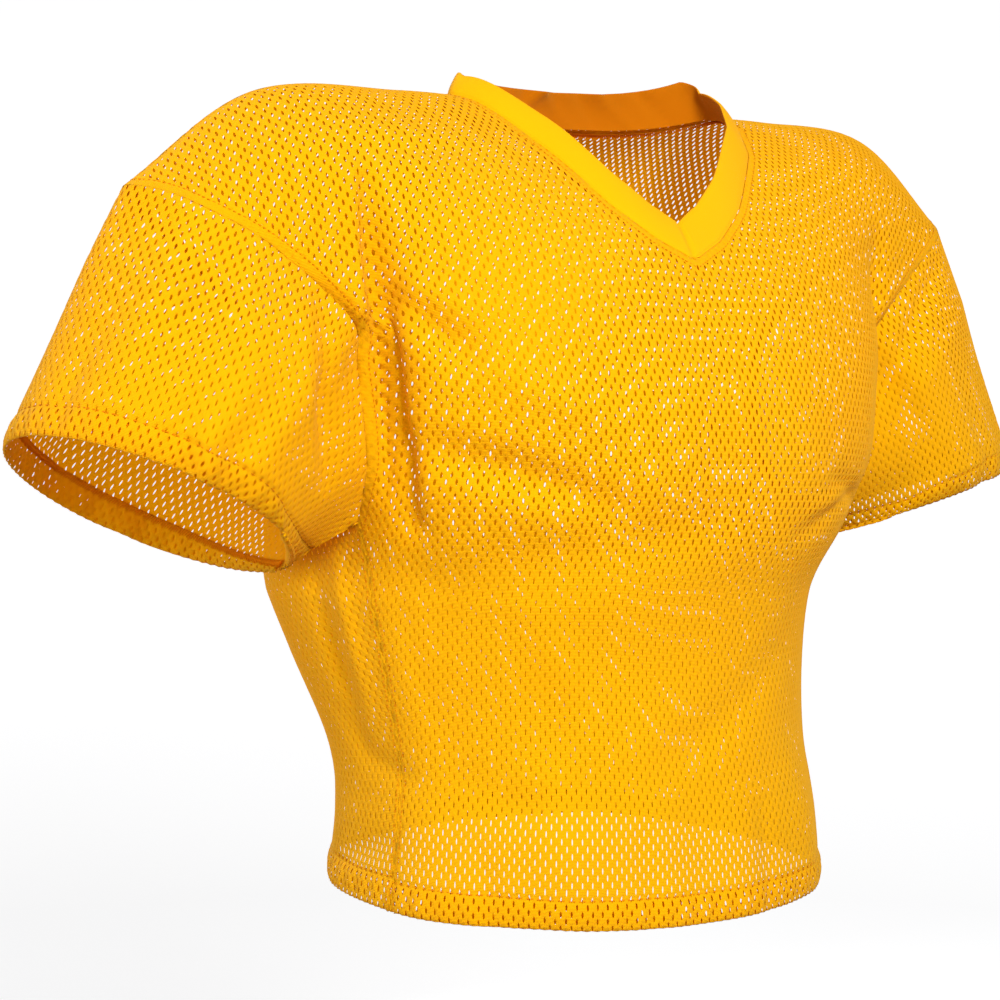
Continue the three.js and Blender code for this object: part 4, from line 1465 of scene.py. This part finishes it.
@dataclass
class Collar:
    """The band round the neck: smooth rib cloth folded double and mitred at the point of the V.

    Angles go round the neck: 0 is the point of the V, 90 the wearer's left and 180 the middle of the
    back. At `angles` the free edge stands by `inwards` and `rises` from the seam. Inwards means
    towards a point behind the V for its front, and towards the middle of the neck behind. A crease
    is given by its place from the middle of the back, its slope and its height.
    """

    form: WornForm
    angles: tuple[float, ...] = (0, 50, 90, 130, 180, 230, 270, 310, 360)
    inwards: tuple[float, ...] = (17.5, 16, 12, 6, 5, 6, 12, 16, 17.5)
    rises: tuple[float, ...] = (26.5, 22, 18, 30, 25, 21, 15, 22, 26.5)
    aim: float = 60.0
    aim_angles: tuple[float, float] = (70, 112)
    crown: float = 1.5
    half_wall: float = 1.1
    columns: int = 220
    seam_rows: tuple[float, ...] = (0.0, 0.35, 1.0, 1.6, 2.2, 3.0, 5.0)
    seam_depths: tuple[float, ...] = (1.0, 0.25, 0.1, 0.55, 0.1)
    outer_shares: tuple[float, ...] = (0.28, 0.4, 0.52, 0.64, 0.76, 0.88)
    fold_rows: int = 7
    inner_shares: tuple[float, ...] = (0.85, 0.65, 0.45, 0.25, 0.1, 0.0)
    mitre_depth: float = 1.3
    mitre_width: float = 1.5
    mitre_from: float = 0.02
    creases: tuple[tuple[float, float, float], ...] = (
        (-92, 0.9, 2.4), (-62, 1.1, -3.0), (-36, 0.8, 2.2), (-10, 1.2, -2.8), (20, 0.7, 2.2),
        (48, -1.1, -3.0), (80, -0.8, 2.4))
    crease_width: float = 5.2
    crease_root: float = 0.35
    crease_angles: tuple[float, float] = (100, 140)
    cut_share: float = 2.1

    def edge(self) -> tuple[np.ndarray, np.ndarray]:
        """The neck edge, from the point of the V round the wearer's left and the back.

        Returns:
            Its points and their angles.
        """
        sides = {}
        for side in Side:
            front = self.form.panels[Cut.FRONT][side].worn[Pattern.neck_rows(Cut.FRONT), 0]
            back = self.form.panels[Cut.BACK][side].worn[Pattern.neck_rows(Cut.BACK), 0][::-1]
            angle = np.concatenate([np.linspace(0, 90, len(front)), np.linspace(90, 180, len(back))[1:]])
            sides[side] = np.concatenate([front, back[1:]]), angle
        left, left_angle = sides[Side.LEFT]
        right, right_angle = sides[Side.RIGHT]
        points = np.concatenate([left, right[:-1][::-1]])
        return points, np.concatenate([left_angle, 360 - right_angle[:-1][::-1]])

    def profile(self, height: float) -> tuple[np.ndarray, np.ndarray]:
        """The band's section.

        Args:
            height: the band's width from its seam to its free edge.

        Returns:
            Heights above the seam and depths below the outer face, round the fold and down inside.
        """
        r = self.half_wall
        outer = np.concatenate([self.seam_rows, np.array(self.outer_shares) * (height - r)])
        sunk = np.zeros(len(outer))
        sunk[:len(self.seam_depths)] = self.seam_depths
        bend = np.linspace(0, math.pi, self.fold_rows)
        inner = np.array(self.inner_shares) * (height - r)
        heights = np.concatenate([outer, height - r + r * np.sin(bend), inner])
        depths = np.concatenate([sunk, r - r * np.cos(bend), np.full(len(inner), 2 * r)])
        return heights, depths

    def aims(self, base: np.ndarray, from_tip: np.ndarray) -> np.ndarray:
        """Works out which way is inwards.

        Args:
            base: the points of the seam.
            from_tip: their angles from the point of the V, on either side.

        Returns:
            A level direction for each point.
        """
        behind = smoothstep(from_tip, *self.aim_angles)
        aim_y = self.aim * (1 - behind) - base[:, 1] * behind
        return unit(np.stack([-base[:, 0], aim_y, np.zeros(len(base))], -1))

    def creased(self, back: float, heights: np.ndarray, share: np.ndarray) -> np.ndarray:
        """How far the creases lift one column of the band.

        Args:
            back: the column's place from the middle of the back.
            heights: its heights above the seam.
            share: the same as shares of the band's width.

        Returns:
            The lifts.
        """
        fold = sum(size * np.exp(-(((back - place - slope * heights) / self.crease_width) ** 2))
                   for place, slope, size in self.creases)
        return fold * (self.crease_root + (1 - self.crease_root) * share)

    def build(self, material: bpy.types.Material) -> bpy.types.Object:
        """Args:
            material: the rib cloth's material.

        Returns:
            The finished piece.
        """
        edge, edge_angles = self.edge()
        lengths = running_lengths(edge)
        at = np.linspace(0, lengths[-1], self.columns + 1)[:-1]
        base = interpolate(at, lengths, edge)
        angle = np.interp(at, lengths, edge_angles)
        from_tip = np.minimum(angle, 360 - angle)
        aim = self.aims(base, from_tip)
        inward = np.interp(angle, self.angles, self.inwards)
        rise = np.interp(angle, self.angles, self.rises)
        band = aim * inward[:, None] + np.array([0, 0, 1]) * rise[:, None]
        width = np.linalg.norm(band, axis=1)
        along = unit(np.roll(base, -1, 0) - np.roll(base, 1, 0))
        out = unit(np.cross(along, band))
        from_seam = np.minimum(at, lengths[-1] - at)
        mitre = self.mitre_depth * np.exp(-((from_seam / self.mitre_width) ** 2))
        wave = smoothstep(from_tip, *self.crease_angles)
        points, places = [], []
        for k in range(self.columns):
            heights, depths = self.profile(width[k])
            share = heights / width[k]
            crown = self.crown * 4 * share * (1 - share)
            crease = wave[k] * self.creased(at[k] - lengths[-1] / 2, heights, share)
            lift = crease - depths - mitre[k] * (share > self.mitre_from)
            points.append(base[k] + band[k] * share[:, None] - aim[k] * crown[:, None]
                          + out[k] * lift[:, None])
            down = np.concatenate([[0], np.cumsum(np.hypot(np.diff(heights), np.diff(depths)))])
            flat_from = len(self.seam_depths)
            top = np.interp(self.half_wall, depths[flat_from:], down[flat_from:])
            places.append(np.stack([np.full(len(down), at[k]), top - down], -1))
        rows = len(points[0])
        faces = []
        for column in range(self.columns):
            for row in range(rows - 1):
                a, b = column * rows + row, (column + 1) % self.columns * rows + row
                faces.append([a, b, b + 1, a + 1])
        piece = mesh_object("collar_band", np.concatenate(points), faces)
        set_uv(piece, np.concatenate(places))
        dress(piece, material)
        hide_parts("collar")
        return piece


class MaterialTree(NodeTree):
    """The node tree of a material, emptied."""

    def __init__(self, name: str) -> None:
        """Makes the material.

        Args:
            name: the material's name.
        """
        self.material = bpy.data.materials.new(name)
        self.material.use_nodes = True
        self.material.node_tree.nodes.clear()
        super().__init__(self.material.node_tree)

    def mix(self, factor: Socket, first: Socket | tuple, second: Socket | tuple) -> Socket:
        """Two colours mixed by a factor."""
        return self.node("ShaderNodeMix", {"data_type": "RGBA"}, {0: factor, 6: first, 7: second}, 2)

    def noise(self, scale: float, detail: float) -> Socket:
        """Noise from 0 to 1 on object coordinates."""
        place = self.node("ShaderNodeTexCoord", {}, {}, "Object")
        return self.node("ShaderNodeTexNoise", {}, {"Vector": place, "Scale": scale, "Detail": detail}, 0)


@dataclass(frozen=True)
class ClothFinish:
    """A cloth or thread: its colours, its fine ribs and how much light comes through.

    The colour clouds over softly from `colour` to `shade`. `rib` is the pitch of the ribs in
    millimetres, and `inner` a darker colour painted on a layer that is folded inside, where v is
    below 0: painted shade, for the shade that falls inside the fold.
    """

    name: str
    colour: Colour
    shade: Colour
    translucency: float
    through: Colour = (0.95, 0.33, 0.0, 1)
    gloss: Colour = (1.0, 0.72, 0.15, 1)
    roughness: float = 0.8
    rough_range: float = 0.08
    cloud_scale: float = 14.0
    grain_scale: float = 2600.0
    grain: float = 0.5
    rib: float = 0.0
    rib_across: bool = False
    rib_strength: float = 0.4
    relief: float = 0.0002
    specular: float = 0.2
    sheen: float = 0.2
    sheen_roughness: float = 0.5
    # A darker colour for the inner layer: painted shade
    inner: Colour | None = None

    def build(self) -> bpy.types.Material:
        """Makes the material.

        Returns:
            The material.
        """
        tree = MaterialTree(self.name)
        cloudy = tree.noise(self.cloud_scale, 3.0)
        colour = tree.mix(cloudy, self.colour, self.shade)
        height = tree.noise(self.grain_scale, 2.0) * self.grain
        if self.rib:
            place = tree.node("ShaderNodeUVMap", {"uv_map": "UVMap"}, {})
            u, v, _ = place.parts()
            line = u if self.rib_across else v
            height = height + (line * (2 * math.pi / (self.rib * MM))).sin()
            # Painted shade: below v = 0, on the layer folded inside, the colour turns to the darker inner
            # one
            if self.inner:
                colour = tree.mix((0.0 - v) > 0.0, colour, self.inner)
        bump = tree.node("ShaderNodeBump", {}, {
            "Height": height, "Strength": self.rib_strength, "Distance": self.relief})
        rough = self.roughness + (cloudy - 0.5) * self.rough_range
        solid = tree.node("ShaderNodeBsdfPrincipled", {}, {
            "Base Color": colour, "Roughness": rough, "Normal": bump, "Specular IOR Level": self.specular,
            "Specular Tint": self.gloss, "Sheen Weight": self.sheen,
            "Sheen Roughness": self.sheen_roughness, "Sheen Tint": self.gloss})
        through = tree.node("ShaderNodeBsdfTranslucent", {}, {"Color": self.through})
        both = tree.node("ShaderNodeMixShader", {}, {0: self.translucency, 1: solid, 2: through})
        tree.raw("ShaderNodeOutputMaterial", {}, {"Surface": both})
        return tree.material


MESH_FINISH = ClothFinish("mesh_cloth", (0.80, 0.41, 0.0, 1), (0.76, 0.365, 0.0, 1), 0.28, rib=0.9,
                          rib_strength=0.6)
# The rib cloth's inner colour is painted shade: a deep orange on the collar's inner layer, for the shade
# inside the band
RIB_FINISH = ClothFinish("rib_cloth", (0.78, 0.37, 0.0, 1), (0.76, 0.345, 0.0, 1), 0.15,
                         rib=0.8, rib_across=True, inner=(0.40, 0.11, 0.0, 1))
THREAD_FINISH = ClothFinish("thread", (0.62, 0.19, 0.0, 1), (0.55, 0.16, 0.0, 1), 0.1, sheen=0.1)
SERGING_FINISH = ClothFinish("serging_thread", (0.80, 0.30, 0.0, 1), (0.70, 0.22, 0.0, 1), 0.3,
                             sheen=0.1)


@dataclass
class Needlework:
    """All the sewing, with how far in from its edge each line runs, in millimetres."""

    pattern: Pattern
    raw_edge: float = 1.8
    neck: float = 5.0
    neck_serging: float = 4.0
    armhole: float = 6.0
    armhole_serging: float = 1.8
    side: float = 3.4
    side_serging: float = 1.6

    def build(self, tree: GeometryTree) -> list[bpy.types.Object]:
        """Makes all the lines of stitches.

        Args:
            tree: the stitch tree.

        Returns:
            The finished pieces.
        """
        pattern = self.pattern
        thread, serging = THREAD_FINISH.build(), SERGING_FINISH.build()
        hems = Sewing("hem_stitches", Stitch(2.7, 1.1, 0.8), spacing=3.3, lift=0.3, seed=1)
        raw = Sewing("turn_up_serging", Stitch(5.4, 1.1, 2.0, 72), spacing=1.6, lift=0.8, seed=2)
        for name, panel in pattern.panels.items():
            hems.add(panel, pattern.row_line(name, TURN_UP_DEPTH))
            raw.add(panel, pattern.row_line(name, -TURN_UP_DEPTH) + np.array([0, self.raw_edge]))
        neck = Sewing("neck_stitches", Stitch(1.9, 0.8, 0.6), spacing=3.1, lift=0.25, seed=3)
        seams = Sewing("seam_stitches", Stitch(2.0, 0.8, 0.6), spacing=3.3, lift=0.25, seed=4)
        inside = Sewing("seam_serging", Stitch(4.2, 1.0, 1.2, 78), spacing=1.5, lift=-1.1, seed=5)
        cord = Sewing("neck_serging", Stitch(6.4, 1.2, 2.6, 80), spacing=1.6, lift=-2.2, seed=6)
        for cut in Cut:
            panel, toward = pattern.panels[cut.value], pattern.middle(cut.value)
            for side in Side:
                neck_line = evenly(pattern.neck_line(cut, side), SEAM_STEP)
                armhole_line = evenly(pattern.armhole_line(cut, side), SEAM_STEP)
                side_line = evenly(pattern.side_line(cut, side), SEAM_STEP)
                for kind, line, inset in (
                        (neck, neck_line, self.neck), (cord, neck_line, self.neck_serging),
                        (seams, armhole_line, self.armhole), (inside, armhole_line, self.armhole_serging),
                        (seams, side_line, self.side), (inside, side_line, self.side_serging)):
                    kind.add(panel, offset_path(line, inset, toward))
        pieces = [kind.build(tree, thread) for kind in (hems, neck, seams)]
        return pieces + [kind.build(tree, serging) for kind in (raw, inside, cord)]


@dataclass(frozen=True)
class Lamp:
    """A soft square lamp aimed at the target, in metres and watts.

    It stands so far to the camera's right of the target, on the camera's side of it, and above it.
    """

    name: str
    aside: float
    towards: float
    up: float
    size: float
    power: float


@dataclass(frozen=True)
class Studio:
    """A pale floor that curves up all round, soft lamps, and the camera of the photo, in metres."""

    floor: float = -1.45
    radius: float = 6.0
    bend: float = 2.2
    wall: float = 5.0
    middle_ring: float = 0.3
    bend_rows: int = 13
    turns: int = 72
    colour: Colour = (0.80, 0.80, 0.81, 1)
    glow: float = 0.68
    daylight: float = 0.22
    lamps: tuple[Lamp, ...] = (
        Lamp("key", 0.9, 2.2, 1.1, 0.8, 118), Lamp("fill", -1.6, 1.9, -0.2, 1.6, 28),
        Lamp("side", -2.4, 0.3, 0.0, 1.4, 22), Lamp("back", -0.9, -1.9, 0.7, 1.6, 26))
    azimuth: float = -34.9
    elevation: float = 1.8
    distance: float = 1.3175
    lens: float = 67.54
    shift_right: float = -0.0653
    height: float = -0.2588
    farthest: float = 100.0

    def axes(self) -> tuple[Vector, Vector]:
        """The camera's axes.

        Returns:
            The directions to its right, and from the target back to it.
        """
        az, el = math.radians(self.azimuth), math.radians(self.elevation)
        right = Vector((math.cos(az), math.sin(az), 0))
        back = Vector((math.sin(az) * math.cos(el), -math.cos(az) * math.cos(el), math.sin(el)))
        return right, back

    def target(self) -> Vector:
        """The point that the camera looks at."""
        right, _ = self.axes()
        return right * self.shift_right + Vector((0, 0, self.height))

    def add_camera(self) -> None:
        """Adds the camera."""
        data = bpy.data.cameras.new("camera")
        data.lens = self.lens
        data.clip_end = self.farthest
        camera = link(bpy.data.objects.new("camera", data))
        _, back = self.axes()
        camera.location = self.target() + back * self.distance
        camera.rotation_mode = "QUATERNION"
        camera.rotation_quaternion = (-back).to_track_quat("-Z", "Y")
        bpy.context.scene.camera = camera

    def add_floor(self) -> None:
        """Adds the floor, which curves up into a wall all round."""
        bend = [(self.radius - self.bend + self.bend * math.sin(a), self.bend * (1 - math.cos(a)))
                for a in np.linspace(0, math.pi / 2, self.bend_rows)]
        line = [(0.0, 0.0), (self.radius * self.middle_ring, 0.0), *bend, (self.radius, self.wall)]
        turns = self.turns
        points = [(0, 0, self.floor)]
        for r, z in line[1:]:
            points += [(r * math.cos(2 * math.pi * k / turns), r * math.sin(2 * math.pi * k / turns),
                        z + self.floor) for k in range(turns)]
        faces = [[0, 1 + k, 1 + (k + 1) % turns] for k in range(turns)]
        for i in range(len(line) - 2):
            a, b = 1 + i * turns, 1 + (i + 1) * turns
            faces += [[a + k, b + k, b + (k + 1) % turns, a + (k + 1) % turns] for k in range(turns)]
        floor = mesh_object("floor", np.array(points) / MM, faces)
        tree = MaterialTree("floor")
        plain = tree.node("ShaderNodeBsdfPrincipled", {}, {
            "Base Color": self.colour, "Roughness": 0.9, "Specular IOR Level": 0.0,
            "Emission Color": (1, 1, 1, 1), "Emission Strength": self.glow})
        tree.raw("ShaderNodeOutputMaterial", {}, {"Surface": plain})
        floor.data.materials.append(tree.material)
        # The floor's own light stays off the cloth, whose shadows would wash out
        floor.visible_diffuse = False
        floor.visible_transmission = False

    def add_lamp(self, lamp: Lamp) -> None:
        """Adds a lamp.

        Args:
            lamp: what it is and where it stands.
        """
        right, back = self.axes()
        data = bpy.data.lights.new(lamp.name, "AREA")
        data.shape = "SQUARE"
        data.size = lamp.size
        data.energy = lamp.power
        obj = link(bpy.data.objects.new(lamp.name, data))
        place = right * lamp.aside + back * lamp.towards + Vector((0, 0, lamp.up))
        obj.location = self.target() + place
        obj.rotation_mode = "QUATERNION"
        obj.rotation_quaternion = (-place).to_track_quat("-Z", "Y")

    def build(self) -> None:
        """Sets up the stage, the light and the camera."""
        scene = bpy.context.scene
        world = bpy.data.worlds.new("world")
        world.use_nodes = True
        background = world.node_tree.nodes["Background"]
        background.inputs["Color"].default_value = (1, 1, 1, 1)
        background.inputs["Strength"].default_value = self.daylight
        scene.world = world
        scene.view_settings.view_transform = "Standard"
        self.add_floor()
        for lamp in self.lamps:
            self.add_lamp(lamp)
        self.add_camera()


def report(piece: bpy.types.Object) -> None:
    """Logs a piece's name and how many triangles it has."""
    count = sum(len(face.vertices) - 2 for face in piece.data.polygons)
    log.info("%s: %d triangles", piece.name, count)


def main() -> None:
    """Builds the jersey and its stage."""
    logging.basicConfig(level=logging.INFO, format="%(message)s")
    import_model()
    form = WornForm()
    form.build()
    pattern = Pattern(form)
    pattern.build()
    mesh_cloth, rib_cloth = MESH_FINISH.build(), RIB_FINISH.build()
    cell = Cell()
    shape = cell.build()
    weave = perforated_cloth_tree()
    for name, panel in pattern.panels.items():
        report(MeshCloth(panel, cell, name).build(weave, shape, mesh_cloth))
    bpy.data.objects.remove(shape)
    report(Collar(form).build(rib_cloth))
    report(Allowances(pattern).build(mesh_cloth))
    for piece in Needlework(pattern).build(stitch_tree()):
        report(piece)
    Studio().build()


if __name__ == "__main__":
    main()
